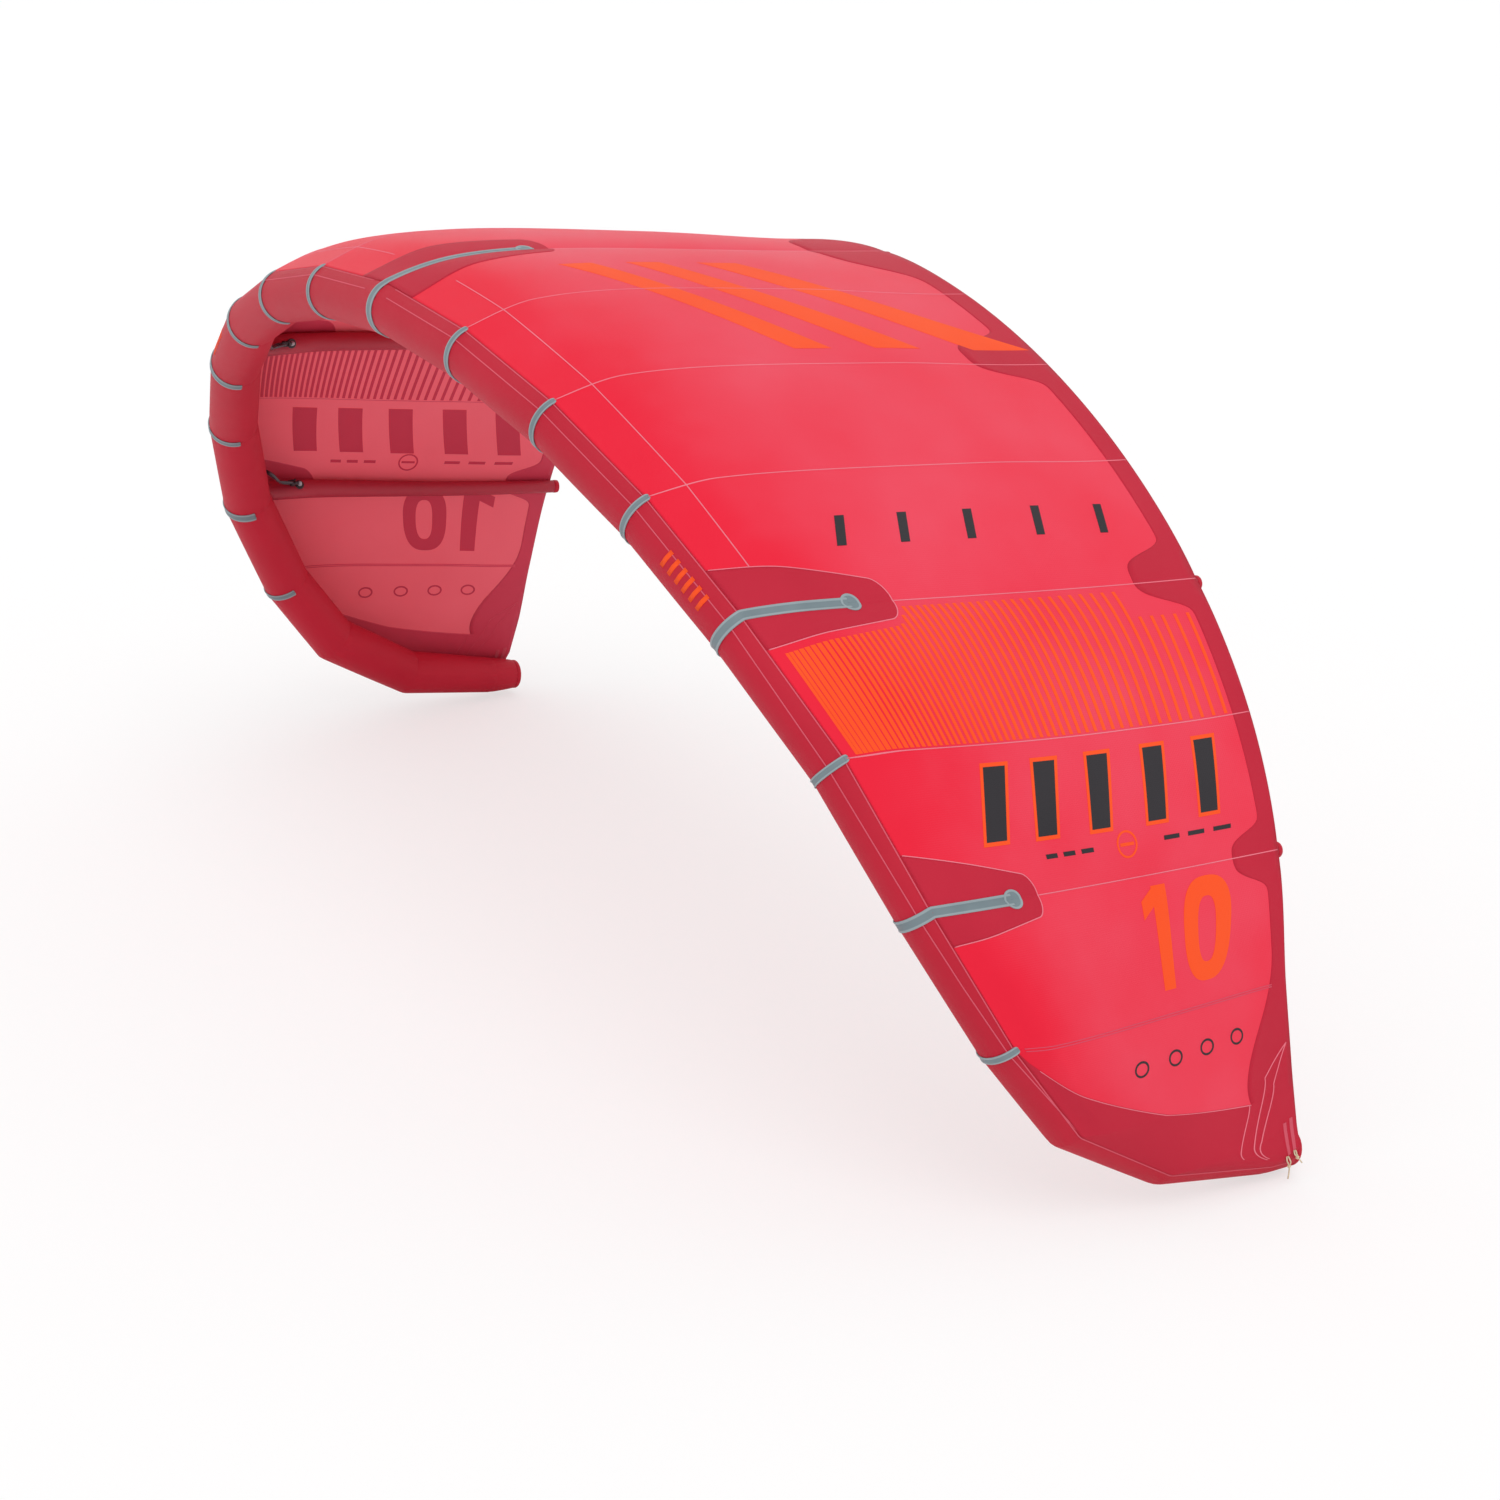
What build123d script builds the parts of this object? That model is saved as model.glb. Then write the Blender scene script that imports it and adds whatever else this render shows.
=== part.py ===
from build123d import *

import os
from math import atan2, cos, radians, sin, sqrt, tan

# Inflatable kitesurf kite, 10 square metres, in its flying shape.
# Frame: origin on the axis of the leading edge tube at mid span. +X runs to the right wing tip,
# +Y runs back along the chords to the trailing edge, +Z is up through the centre of the arch.
# The right half is modelled and mirrored in the plane X = 0.

# ---- Driving dimensions, millimetres and degrees -------------------------------------------

# Leading edge tube, as cut: one entry for each sewn segment, from the centre to the tip.
segment_lengths = [485, 475, 455, 435, 455, 430, 420, 325, 345, 350, 95]
arch_angles = [5, 13, 22, 32, 42, 58, 72, 84, 90, 90, 90]
sweep_angles = [2, 4, 7, 10, 14, 17, 26, 36, 59, 79, 83]

# Tube radius at each station. Station 0 is the centre seam, station 11 the closed tip end.
tube_radii = [84, 84, 84, 84, 84, 84, 84, 84, 84, 80, 66, 54]

# Trailing edge at each station: how far back it lies, how far it is washed in towards the
# inside of the arch, and how far the chords fan out along the arch.
edge_reach = [1680, 1676, 1670, 1665, 1658, 1632, 1602, 1565, 1549, 1532, 1522, 1516]
edge_drop = [5, 13, 30, 50, 70, 85, 85, 80, 30, -30, -60, -62]
edge_fan = [0, 0, 2, 17, 42, 45, 46, 50, 20, 0, -20, -12]

# Canopy section: a Bezier line that leaves the tube at seam_angle ahead of its outermost line.
# At each station: how far the cloth keeps the direction in which it leaves the tube, as a share
# of the chord, its slope at the trailing edge, and how far its line bows towards the wing tip.
seam_angle = 20
front_fullness = [0.20, 0.20, 0.17, 0.14, 0.12, 0.13, 0.16, 0.22, 0.24, 0.245, 0.233, 0.22]
rear_fullness = 0.56
edge_slope = [2.5, 2.5, 3, 4, 4.5, 1.5, 0.5, 0, 4, 7, 8, 8]
side_bow = [0, 0, 25, 50, 60, 50, 10, 0, 0, 0, 0, 0]
corner_setback = 45

cloth = 1.5
casing_wall = 1.5
bladder_wall = 1.0
clearance = 0.3

# Trailing edge band and strut patches.
band_width = 75
patch_stations = [0, 4, 6]
patch_lengths = [540, 440, 325]
patch_half_width = 120
patch_thickness = 1.2
patch_front = 6

# Seam strips that protect the joints of the leading edge.
strip_width = 23
strip_thickness = 2.5
strip_inner_angle = 178
strip_start_angle = 22
long_strip_width = 34
long_strip_lengths = [455, 305, 235]
strip_end_radius = 28

# Inflated struts, under the canopy at the patch stations.
strut_root_radius = 40
strut_end_radius = 23
strut_overhang = 12
strut_sections = 17
bladder_first_section = 3
strut_cap_length = 14
strut_cap_round = 6
tip_cap_length = 16
tip_cap_round = 8

# One-pump hoses: fitting on the leading edge, hose, clip, fitting on the strut.
fitting_radius = 17
fitting_height = 5
stem_radius = 7
stem_height = 16
nozzle_length = 18
air_radius = 2.5
hose_radius = 6
hose_bore = 4.5
hose_sag = 16
edge_fitting_offset = 74
edge_fitting_angle = -55
strut_fitting_reach = 250
strut_fitting_tilt = 25
edge_lead = 40
strut_lead = 62

# Hose clip with its lever.
clip_length = 18
clip_wall = 4
ear_length = 8
ear_thickness = 3
ear_gap = 11
lever_length = 26
lever_thickness = 3
lever_room = 0.5
pin_radius = 1.5
barrel_wall = 1.8

# Inflation valve on the first right-hand segment, facing back and down.
valve_offset = 250
valve_angle = 215
valve_flange_height = 5
valve_body_radius = 17
valve_flange_radius = valve_body_radius + 13
valve_body_height = 22
valve_bore_radius = 11
chamber_wall = 2
chamber_height = 9
lock_ring_wall = 4.7
lock_ring_height = 8
lock_ring_lugs = 6
lock_lug_radius = 2.5
collar_radius = valve_body_radius + 2
collar_height = 2
cap_thickness = 3
cap_plug_depth = 3
cap_hinge_offset = valve_body_radius + 5
valve_mouth_radius = valve_bore_radius + 0.8
valve_mouth_depth = cap_plug_depth + clearance
flap_thickness = 1.5
flap_overlap = 1.5
flap_hinge_offset = valve_bore_radius + 1
flap_barrel_radius = 2
flap_pin_radius = 0.8

# Loop for the pump leash, beside the valve.
leash_offset = 330
leash_width = 20
leash_loop_radius = 13
leash_foot = 24
webbing_thickness = 1.5

# Webbing on the wing tips, with the tip lines that hang from it.
webbing_width = 14
webbing_length = 88
webbing_setbacks = [52, 24]
line_radius = 2
knot_radius = 6
knot_length = 6
knot_round = 1.5
webbing_slab = 60

last = len(segment_lengths)
back = Vector(0, 1, 0)


# ---- Stations -------------------------------------------------------------------------------

def segment_direction(arch, sweep):
    """Unit vector of a tube segment from how far it turns down and how far it sweeps back."""
    level = cos(radians(sweep))
    return Vector(cos(radians(arch)) * level, sin(radians(sweep)), -sin(radians(arch)) * level)


directions = [segment_direction(a, s) for a, s in zip(arch_angles, sweep_angles)]
centres = [Vector(0, 0, 0)]
for direction, length in zip(directions, segment_lengths):
    centres.append(centres[-1] + direction * length)


def arch_at(station):
    """Angle of the arch at a station, midway between its two segments."""
    if station == 0:
        return 0.0
    if station == last:
        return radians(arch_angles[-1])
    return radians(arch_angles[station - 1] + arch_angles[station]) / 2


def outward(station):
    """Unit vector out of the arch at a station."""
    return Vector(sin(arch_at(station)), 0, cos(arch_at(station)))


def along(station):
    """Unit vector along the arch towards the wing tip at a station."""
    return Vector(cos(arch_at(station)), 0, -sin(arch_at(station)))


def seam_normal(station):
    """Normal of the plane where two tube segments meet."""
    if station == 0:
        return Vector(1, 0, 0)
    if station == last:
        return directions[-1]
    return (directions[station - 1] + directions[station]).normalized()


def ring_axes(station):
    """Two unit vectors across the tube at a station: outwards and to the front."""
    normal = seam_normal(station)
    front = (normal * back.dot(normal) - back).normalized()
    up = normal.cross(front)
    if up.dot(outward(station)) < 0:
        up = up * -1
    return up, front


def ring_direction(station, angle):
    """Unit vector across the tube, turned from outwards to the front by an angle."""
    up, front = ring_axes(station)
    return up * cos(radians(angle)) + front * sin(radians(angle))


def ring_point(station, angle, offset):
    """Point at an offset from the tube's surface, in the seam plane of a station."""
    radial = ring_direction(station, angle)
    segment = directions[min(station, last - 1)]
    stretch = sqrt(1 - radial.dot(segment) ** 2)
    return centres[station] + radial * ((tube_radii[station] + offset) / stretch)


def trailing_point(station):
    """Point where the canopy line of a station ends."""
    foot = Vector(centres[station].X, edge_reach[station], centres[station].Z)
    return foot - outward(station) * edge_drop[station] + along(station) * edge_fan[station]


def section_at(station):
    """Control points of the cloth's inner line at a station, and its unit vector of lift."""
    start = ring_point(station, seam_angle, clearance)
    if station == last:
        growth = (tube_radii[-2] - tube_radii[-1]) / segment_lengths[-1] * corner_setback
        start = ring_point(station, seam_angle, clearance + growth) - directions[-1] * corner_setback
    end = trailing_point(station)
    chord = (end - start).normalized()
    size = (end - start).length
    lift = (outward(station) - chord * outward(station).dot(chord)).normalized()
    radial = ring_direction(station, seam_angle)
    rise = atan2(-chord.dot(radial), lift.dot(radial))
    fall = radians(edge_slope[station])
    bow = along(station) * side_bow[station]
    first = start + (chord * cos(rise) + lift * sin(rise)) * (front_fullness[station] * size) + bow / 2
    second = end - (chord * cos(fall) - lift * sin(fall)) * (rear_fullness * size) + bow
    return [start, first, second, end], lift


sections = [section_at(station) for station in range(last + 1)]


# ---- Cloth pieces ---------------------------------------------------------------------------

def between(a, b, share):
    """Section between two neighbours: the cloth is ruled from one to the other."""
    points = [p + (q - p) * share for p, q in zip(a[0], b[0])]
    return points, a[1] + (b[1] - a[1]) * share


def split_bezier(points, share):
    """Both parts of a Bezier line, by repeated halving of its control lines."""
    left, right = [points[0]], [points[-1]]
    row = points
    while len(row) > 1:
        row = [p + (q - p) * share for p, q in zip(row, row[1:])]
        left.append(row[0])
        right.insert(0, row[-1])
    return left, right


def trim(section, start, end):
    """Part of a section from one share of its length to another."""
    points = section[0]
    if end < 1:
        points = split_bezier(points, end)[0]
    if start > 0:
        points = split_bezier(points, start / end)[1]
    return points, section[1]


def offset_edge(section, height):
    """Section line moved out of the arch by a height."""
    return Edge.make_bezier(*[point + section[1] * height for point in section[0]])


def point_on(section, share):
    """Point, direction and unit normal out of the arch at a share of a section's length."""
    left, right = split_bezier(section[0], share)
    tangent = (right[1] - left[-2]).normalized()
    normal = (section[1] - tangent * section[1].dot(tangent)).normalized()
    return left[-1], tangent, normal


def share_of_length(section, length):
    """Share of a section that lies a given length behind its front end."""
    steps = 200
    travelled = 0
    previous = section[0][0]
    for step in range(1, steps + 1):
        point = split_bezier(section[0], step / steps)[0][-1]
        travelled += (point - previous).length
        if travelled >= length:
            return step / steps
        previous = point
    return 1.0


def section_length(section):
    """Length of a section line."""
    steps = 200
    points = [split_bezier(section[0], step / steps)[0][-1] for step in range(1, steps + 1)]
    points.insert(0, section[0][0])
    return sum((q - p).length for p, q in zip(points, points[1:]))


def cloth_piece(a, b, low, high):
    """Closed sheet ruled from section a to section b, between two heights over the cloth."""
    a_low, a_high = offset_edge(a, low), offset_edge(a, high)
    b_low, b_high = offset_edge(b, low), offset_edge(b, high)
    ends = []
    for share in (0, 1):
        a_end = Edge.make_line(a_low @ share, a_high @ share)
        b_end = Edge.make_line(b_low @ share, b_high @ share)
        ends.append(Face.make_surface_from_curves(a_end, b_end))
    faces = [
        Face.make_surface_from_curves(a_low, b_low),
        Face.make_surface_from_curves(a_high, b_high),
        Face.make_surface_from_curves(a_low, a_high),
        Face.make_surface_from_curves(b_low, b_high),
    ]
    return closed_solid(faces + ends)


def closed_solid(faces):
    """Solid bounded by faces that meet edge to edge."""
    return Solid(Shell(faces)).fix()


# ---- Round pieces ---------------------------------------------------------------------------

def cone_along(origin, axis, start_radius, end_radius, length):
    """Cylinder or cone from an origin along an axis."""
    plane = Plane(origin=origin, z_dir=axis)
    if abs(start_radius - end_radius) < 1e-6:
        return Solid.make_cylinder(start_radius, length, plane)
    return Solid.make_cone(start_radius, end_radius, length, plane)


def largest(shape):
    """The largest solid of a result."""
    return max(shape.solids(), key=lambda solid: solid.volume)


def keep_side(solid, origin, normal):
    """The part of a solid on the side of a plane that the normal points to."""
    return largest(solid.split(Plane(origin=origin, z_dir=normal), keep=Keep.TOP))


def tube_body(segment, offset, reach):
    """Solid round body of a tube segment, run past both of its ends."""
    axis = directions[segment]
    length = segment_lengths[segment]
    taper = (tube_radii[segment + 1] - tube_radii[segment]) / length
    start_radius = tube_radii[segment] + offset - taper * reach
    end_radius = tube_radii[segment + 1] + offset + taper * reach
    start = centres[segment] - axis * reach
    return cone_along(start, axis, start_radius, end_radius, length + 2 * reach)


def mitred(solid, segment):
    """A tube segment's solid cut off at its two seam planes."""
    solid = keep_side(solid, centres[segment], seam_normal(segment))
    return keep_side(solid, centres[segment + 1], seam_normal(segment + 1) * -1)


def both_sides(solids):
    """The given right-hand solids and their mirror images."""
    return list(solids) + [solid.mirror(Plane.YZ) for solid in solids]


def write(name, solids):
    """Write one named sub-part."""
    solids = list(solids)
    shape = solids[0] if len(solids) == 1 else Compound(children=solids)
    export_step(shape, "parts/" + name + ".step")


# ---- Leading edge: casing segments, bladder and tip caps ------------------------------------

mitre_reach = 60
bladder_offset = -casing_wall - clearance


def segment_frame(segment, distance, angle):
    """Axis point, axis and radial direction at a distance along a tube segment."""
    axis = directions[segment]
    up, front = ring_axes(segment + 1)
    radial = up * cos(radians(angle)) + front * sin(radians(angle))
    radial = (radial - axis * radial.dot(axis)).normalized()
    return centres[segment] + axis * distance, axis, radial


def hollow_segment(segment, offset, wall):
    """Hollow tube segment between its seam planes."""
    outer = tube_body(segment, offset, mitre_reach)
    inner = tube_body(segment, offset - wall, mitre_reach + 1)
    return mitred(largest(outer - inner), segment)


valve_centre, valve_axis, valve_radial = segment_frame(0, valve_offset, valve_angle)
valve_seat = valve_centre + valve_radial * tube_radii[0]
valve_chamber_radius = valve_body_radius - chamber_wall
valve_hole_radius = valve_chamber_radius + 1


def valve_plane(height):
    """Plane across the valve at a height over the tube, its X along the leading edge."""
    return Plane(origin=valve_seat + valve_radial * height, x_dir=valve_axis, z_dir=valve_radial)


hole_depth = casing_wall + clearance + bladder_wall + 4
valve_hole = Solid.make_cylinder(valve_hole_radius, 2 * hole_depth, valve_plane(-hole_depth))

for segment in range(last):
    pair = both_sides([hollow_segment(segment, 0, casing_wall)])
    if segment == 0:
        pair[0] = largest(pair[0] - valve_hole)
    write(f"leading_edge_segment_{segment + 1:02d}", pair)


def whole_tube(offset, end_setback):
    """Round body from tip to tip, at an offset from the casing's surface and short of its ends."""
    rings = []
    for station in range(last + 1):
        setback = end_setback if station == last else 0
        centre = centres[station] - seam_normal(station) * setback
        plane = Plane(origin=centre, x_dir=ring_axes(station)[0], z_dir=seam_normal(station))
        rings.append(Wire.make_circle(tube_radii[station] + offset, plane))
        if station > 0:
            plane = Plane(
                origin=Vector(-centre.X, centre.Y, centre.Z),
                x_dir=Vector(-plane.x_dir.X, plane.x_dir.Y, plane.x_dir.Z),
                z_dir=Vector(plane.z_dir.X, -plane.z_dir.Y, -plane.z_dir.Z),
            )
            rings.insert(0, Wire.make_circle(tube_radii[station] + offset, plane))
    return Solid.make_loft(rings, ruled=True)


bladder = largest(whole_tube(bladder_offset, 0) - whole_tube(bladder_offset - bladder_wall, bladder_wall))
write("leading_edge_bladder", [largest(bladder - valve_hole)])

tip_cap = cone_along(centres[-1], directions[-1], tube_radii[-1], tube_radii[-1], tip_cap_length)
tip_rim = tip_cap.edges().sort_by(Axis(centres[-1], directions[-1]))[-1]
write("leading_edge_tip_caps", both_sides([tip_cap.fillet(tip_cap_round, [tip_rim])]))

# ---- Canopy panels, wing tips and trailing edge band ----------------------------------------

tip_station = 7
band_shares = [share_of_length(section, section_length(section) - band_width)
               for section in sections[:tip_station + 1]]

band_pieces = []
for panel in range(tip_station):
    a, b = sections[panel], sections[panel + 1]
    a_share, b_share = band_shares[panel], band_shares[panel + 1]
    cloth_panel = cloth_piece(trim(a, 0, a_share), trim(b, 0, b_share), 0, cloth)
    write(f"canopy_panel_{panel + 1}", both_sides([cloth_panel]))
    band_pieces.append(cloth_piece(trim(a, a_share, 1), trim(b, b_share, 1), 0, cloth))
write("trailing_edge_band", both_sides(band_pieces))

tip_pieces = [cloth_piece(sections[k], sections[k + 1], 0, cloth) for k in range(tip_station, last)]
write("wing_tip_panels", both_sides(tip_pieces))

# ---- Strut patches and seam strips ----------------------------------------------------------


def strip_on_cloth(station, half_width, start, end, low, high):
    """Strips of cloth to both sides of a station's seam, from start to end behind the tube."""
    strips = []
    for panel in (station - 1, station):
        if panel < 0:
            continue
        a, b = sections[panel], sections[panel + 1]
        spread = (b[0][0] - a[0][0]).length
        edge = half_width / spread
        shares = (0, edge) if panel == station else (1 - edge, 1)
        sides = [between(a, b, share) for share in shares]
        limits = [(share_of_length(side, start), share_of_length(side, end)) for side in sides]
        trimmed = [trim(side, *limit) for side, limit in zip(sides, limits)]
        strips.append(cloth_piece(*trimmed, low, high))
    return strips


patch_low = cloth + clearance
patch_high = patch_low + patch_thickness
patch_solids = []
for station, length in zip(patch_stations, patch_lengths):
    patch_solids += strip_on_cloth(station, patch_half_width, patch_front, length, patch_low, patch_high)
write("strut_patches", both_sides(patch_solids))


def half_ring(station, outboard, start_angle, end_angle, low, high, width):
    """Half of a band round the tube, on one side of a seam plane."""
    segment = station if outboard else station - 1
    axis = directions[segment]
    radial = ring_direction(station, start_angle)
    radial = (radial - axis * radial.dot(axis)).normalized()
    outer = axis if outboard else axis * -1
    base = centres[station] - outer * width
    radius = tube_radii[station]
    corners = [
        base + radial * (radius + low),
        base + radial * (radius + high),
        base + radial * (radius + high) + outer * (1.5 * width),
        base + radial * (radius + low) + outer * (1.5 * width),
    ]
    section = Face(Wire.make_polygon(corners, close=True))
    ring = Solid.revolve(section, end_angle - start_angle, Axis(centres[station], axis))
    normal = seam_normal(station) if outboard else seam_normal(station) * -1
    return keep_side(ring, centres[station], normal)


def ring_strip(station, width):
    """Band round the tube over a seam, as halves that meet in the seam plane."""
    halves = [half_ring(station, True, strip_start_angle, strip_inner_angle, clearance,
                        clearance + strip_thickness, width)]
    if station > 0:
        halves.append(half_ring(station, False, strip_start_angle, strip_inner_angle, clearance,
                                clearance + strip_thickness, width))
        return largest(halves[0] + halves[1])
    return largest(halves[0] + halves[0].mirror(Plane.YZ))


short_stations = [k for k in range(1, tip_station + 1) if k not in patch_stations]
short_strips = [ring_strip(station, strip_width) for station in short_stations]
write("seam_strips_short", both_sides(short_strips))

strip_low = patch_high + clearance
strip_high = strip_low + strip_thickness
long_rings = []
long_tails = []
for station, length in zip(patch_stations, long_strip_lengths):
    ring = ring_strip(station, long_strip_width)
    tail = strip_on_cloth(station, long_strip_width / 2, patch_front, length, strip_low, strip_high)
    share = share_of_length(sections[station], length)
    point, tangent, normal = point_on(sections[station], share)
    plane = Plane(origin=point + normal * strip_low, z_dir=normal)
    disc = Solid.make_cylinder(strip_end_radius, strip_thickness, plane)
    if station == 0:
        tail.append(tail[0].mirror(Plane.YZ))
        long_rings.append(ring)
        long_tails.append(largest(disc.fuse(*tail)))
    else:
        long_rings += both_sides([ring])
        long_tails += both_sides([largest(disc.fuse(*tail))])
write("seam_strips_long", long_rings + long_tails)

# ---- Struts ---------------------------------------------------------------------------------

strut_start = 0.03


def strut_gap(station):
    """Room between the top of a strut and the cloth, which folds down on both sides of it."""
    inner = directions[station - 1] if station else Vector(directions[0].X, -directions[0].Y, -directions[0].Z)
    turn = radians(directions[station].get_angle(inner))
    return 3 * clearance + strut_root_radius * tan(turn / 2) ** 2 / 2


def strut_place(station, share):
    """Axis point, tangent, outward normal and radius of a strut at a share of its section."""
    point, tangent, normal = point_on(sections[station], share)
    radius = strut_root_radius + (strut_end_radius - strut_root_radius) * share
    return point - normal * (radius + strut_gap(station)), tangent, normal, radius


def strut_body(station, offset, first, tail):
    """Round tapered body of a strut, from one of its cross sections to a tail behind the last."""
    wires = []
    for step in range(first, strut_sections):
        share = strut_start + (1 - strut_start) * step / (strut_sections - 1)
        centre, tangent, normal, radius = strut_place(station, share)
        side = normal.cross(tangent)
        wires.append(Wire.make_circle(radius + offset, Plane(origin=centre, x_dir=side, z_dir=tangent)))
    wires.append(Wire.make_circle(radius + offset,
                                  Plane(origin=centre + tangent * tail, x_dir=side, z_dir=tangent)))
    return Solid.make_loft(wires, ruled=True)


def clear_of_tube(solid, station, room):
    """A solid with the leading edge tube at a station cut out of it."""
    tools = [tube_body(station, room, mitre_reach)]
    if station > 0:
        tools.append(tube_body(station - 1, room, mitre_reach))
    else:
        tools.append(tools[0].mirror(Plane.YZ))
    for tool in tools:
        solid = largest(solid - tool)
    return solid


def sided(station, solid):
    """One solid for the centre strut, a mirrored pair for the others."""
    return [solid] if station == 0 else both_sides([solid])


strut_names = {0: "centre_strut", 4: "inner_struts", 6: "outer_struts"}
strut_covers = {}
strut_caps = []
for station in patch_stations:
    body = strut_body(station, 0, 0, strut_overhang)
    core = strut_body(station, -casing_wall, 0, strut_overhang)
    casing = clear_of_tube(largest(body - core), station, clearance)
    write(strut_names[station] + "_casing", sided(station, casing))
    bag = strut_body(station, bladder_offset, bladder_first_section, strut_overhang)
    bag_air = strut_body(station, bladder_offset - bladder_wall, bladder_first_section,
                         strut_overhang - bladder_wall)
    write(strut_names[station] + "_bladder", sided(station, largest(bag - bag_air)))
    centre, tangent, normal, radius = strut_place(station, 1)
    end = centre + tangent * strut_overhang
    cap = cone_along(end, tangent, radius, radius, strut_cap_length)
    rim = cap.edges().sort_by(Axis(end, tangent))[-1]
    strut_caps += sided(station, cap.fillet(strut_cap_round, [rim]))
    strut_covers[station] = strut_body(station, clearance, 0, strut_overhang)
write("strut_end_caps", strut_caps)

# ---- Hose fittings --------------------------------------------------------------------------

saddle_depth = 7
nozzle_radius = hose_bore - clearance


def elbow_fitting(seat, radial, nozzle_axis, cover):
    """Hollow elbow on a round base that seats on a tube, its nozzle pointing along the hose."""
    foot = seat - radial * saddle_depth
    elbow = seat + radial * stem_height
    solid = cone_along(foot, radial, fitting_radius, fitting_radius, saddle_depth + fitting_height)
    solid = solid.fuse(
        cone_along(seat, radial, stem_radius, stem_radius, stem_height),
        Solid.make_sphere(stem_radius, Plane(origin=elbow, x_dir=nozzle_axis * -1, z_dir=radial)),
        cone_along(elbow, nozzle_axis, nozzle_radius, nozzle_radius, nozzle_length),
    )
    for origin, axis, length in ((foot, radial, saddle_depth + stem_height), (elbow, nozzle_axis, nozzle_length)):
        solid = largest(solid - cone_along(origin, axis, air_radius, air_radius, length))
    return largest(solid - cover)


def edge_fitting_place(station):
    """Seat, radial and nozzle direction of the leading edge fitting beside a strut."""
    segment = max(station - 1, 0)
    distance = edge_fitting_offset if station == 0 else segment_lengths[segment] - edge_fitting_offset
    axis_point, axis, radial = segment_frame(segment, distance, edge_fitting_angle)
    return axis_point + radial * tube_radii[segment], radial, axis.cross(radial) * -1


def strut_fitting_place(station):
    """Seat, radial and nozzle direction of the strut fitting, on the side of its hose."""
    share = share_of_length(sections[station], strut_fitting_reach)
    centre, tangent, normal, radius = strut_place(station, share)
    side = tangent.cross(normal) * (1 if station == 0 else -1)
    tilt = radians(strut_fitting_tilt)
    radial = side * cos(tilt) - normal * sin(tilt)
    return centre + radial * radius, radial, tangent * -1


edge_fittings = []
strut_fittings = []
for station in patch_stations:
    cover = tube_body(max(station - 1, 0), clearance, mitre_reach)
    edge_fittings += sided(station, elbow_fitting(*edge_fitting_place(station), cover))
    strut_fittings += sided(station, elbow_fitting(*strut_fitting_place(station), strut_covers[station]))
write("edge_hose_fittings", edge_fittings)
write("strut_hose_fittings", strut_fittings)

# ---- Hoses ----------------------------------------------------------------------------------


def route_radii(points):
    """Largest even arcs that the runs of a route allow, one for each corner."""
    radii = []
    for before, corner, after in zip(points, points[1:], points[2:]):
        turn = (corner - before).get_angle(after - corner)
        shorter = min((corner - before).length, (after - corner).length)
        radii.append(0.45 * shorter / tan(radians(turn / 2)))
    return radii


def tube_along(points, radius, bore=0):
    """Tube along a route of straight runs joined by tangent arcs."""
    path = FilletPolyline(*points, radius=route_radii(points))
    start = Plane(origin=path @ 0, z_dir=path % 0)
    bores = [Wire.make_circle(bore, start)] if bore else []
    return Solid.sweep(Wire.make_circle(radius, start), path, inner_wires=bores)


def hose_end(seat, radial, nozzle_axis):
    """Point on a fitting's nozzle where its hose ends, against the elbow."""
    return seat + radial * stem_height + nozzle_axis * (stem_radius + clearance)


def hose_route(station):
    """Route of a hose from the leading edge fitting to the strut fitting."""
    edge_place, strut_fitting = edge_fitting_place(station), strut_fitting_place(station)
    start, end = hose_end(*edge_place), hose_end(*strut_fitting)
    after_start = start + edge_place[2] * edge_lead
    before_end = end + strut_fitting[2] * strut_lead
    sag = (after_start + before_end) * 0.5 - outward(station) * hose_sag
    return [start, after_start, sag, before_end, end]


hoses = []
for station in patch_stations:
    route = hose_route(station)
    print("hose", station, [round(r) for r in route_radii(route)])
    hoses += sided(station, tube_along(route, hose_radius, hose_bore))
write("one_pump_hoses", hoses)

# ---- Hose clips -----------------------------------------------------------------------------
# Modelled with X along the hose, towards the leading edge, and Z away from the strut.

pin_bore = pin_radius + clearance / 2
barrel_radius = pin_bore + barrel_wall
clip_half = hose_radius + clearance + clip_wall
clip_pin_height = clip_half + lever_room + barrel_radius
clip_pin_x = ear_length / 2 - clip_length / 2


def block(x_low, x_high, y_low, y_high, z_low, z_high):
    """Box between two corners."""
    return Solid.make_box(x_high - x_low, y_high - y_low, z_high - z_low, Plane(origin=(x_low, y_low, z_low)))


def cross_pin(radius, half_length, x, z):
    """Cylinder along Y, centred on the plane Y = 0."""
    return Solid.make_cylinder(radius, 2 * half_length, Plane(origin=(x, -half_length, z), z_dir=(0, 1, 0)))


def clip_body():
    """Block round the hose, with two ears and the pin of its lever."""
    half = clip_length / 2
    body = block(-half, half, -clip_half, clip_half, -clip_half, clip_half)
    ear_top = clip_pin_height + barrel_radius
    ears = [block(-half, ear_length - half, y, y + ear_thickness, clip_half - 1, ear_top)
            for y in (ear_gap / 2, -ear_gap / 2 - ear_thickness)]
    pin = cross_pin(pin_radius, ear_gap / 2 + ear_thickness, clip_pin_x, clip_pin_height)
    hole = cone_along(Vector(-half, 0, 0), Vector(1, 0, 0), hose_radius + clearance, hose_radius + clearance,
                      clip_length)
    return largest(body.fuse(*ears, pin) - hole)


def clip_lever():
    """Lever that turns on the clip's pin."""
    half_width = ear_gap / 2 - lever_room
    barrel = cross_pin(barrel_radius, half_width, clip_pin_x, clip_pin_height)
    low = clip_pin_height - barrel_radius
    plate = block(clip_pin_x, clip_pin_x + lever_length, -half_width, half_width, low, low + lever_thickness)
    return largest(barrel.fuse(plate) - cross_pin(pin_bore, half_width, clip_pin_x, clip_pin_height))


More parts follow.
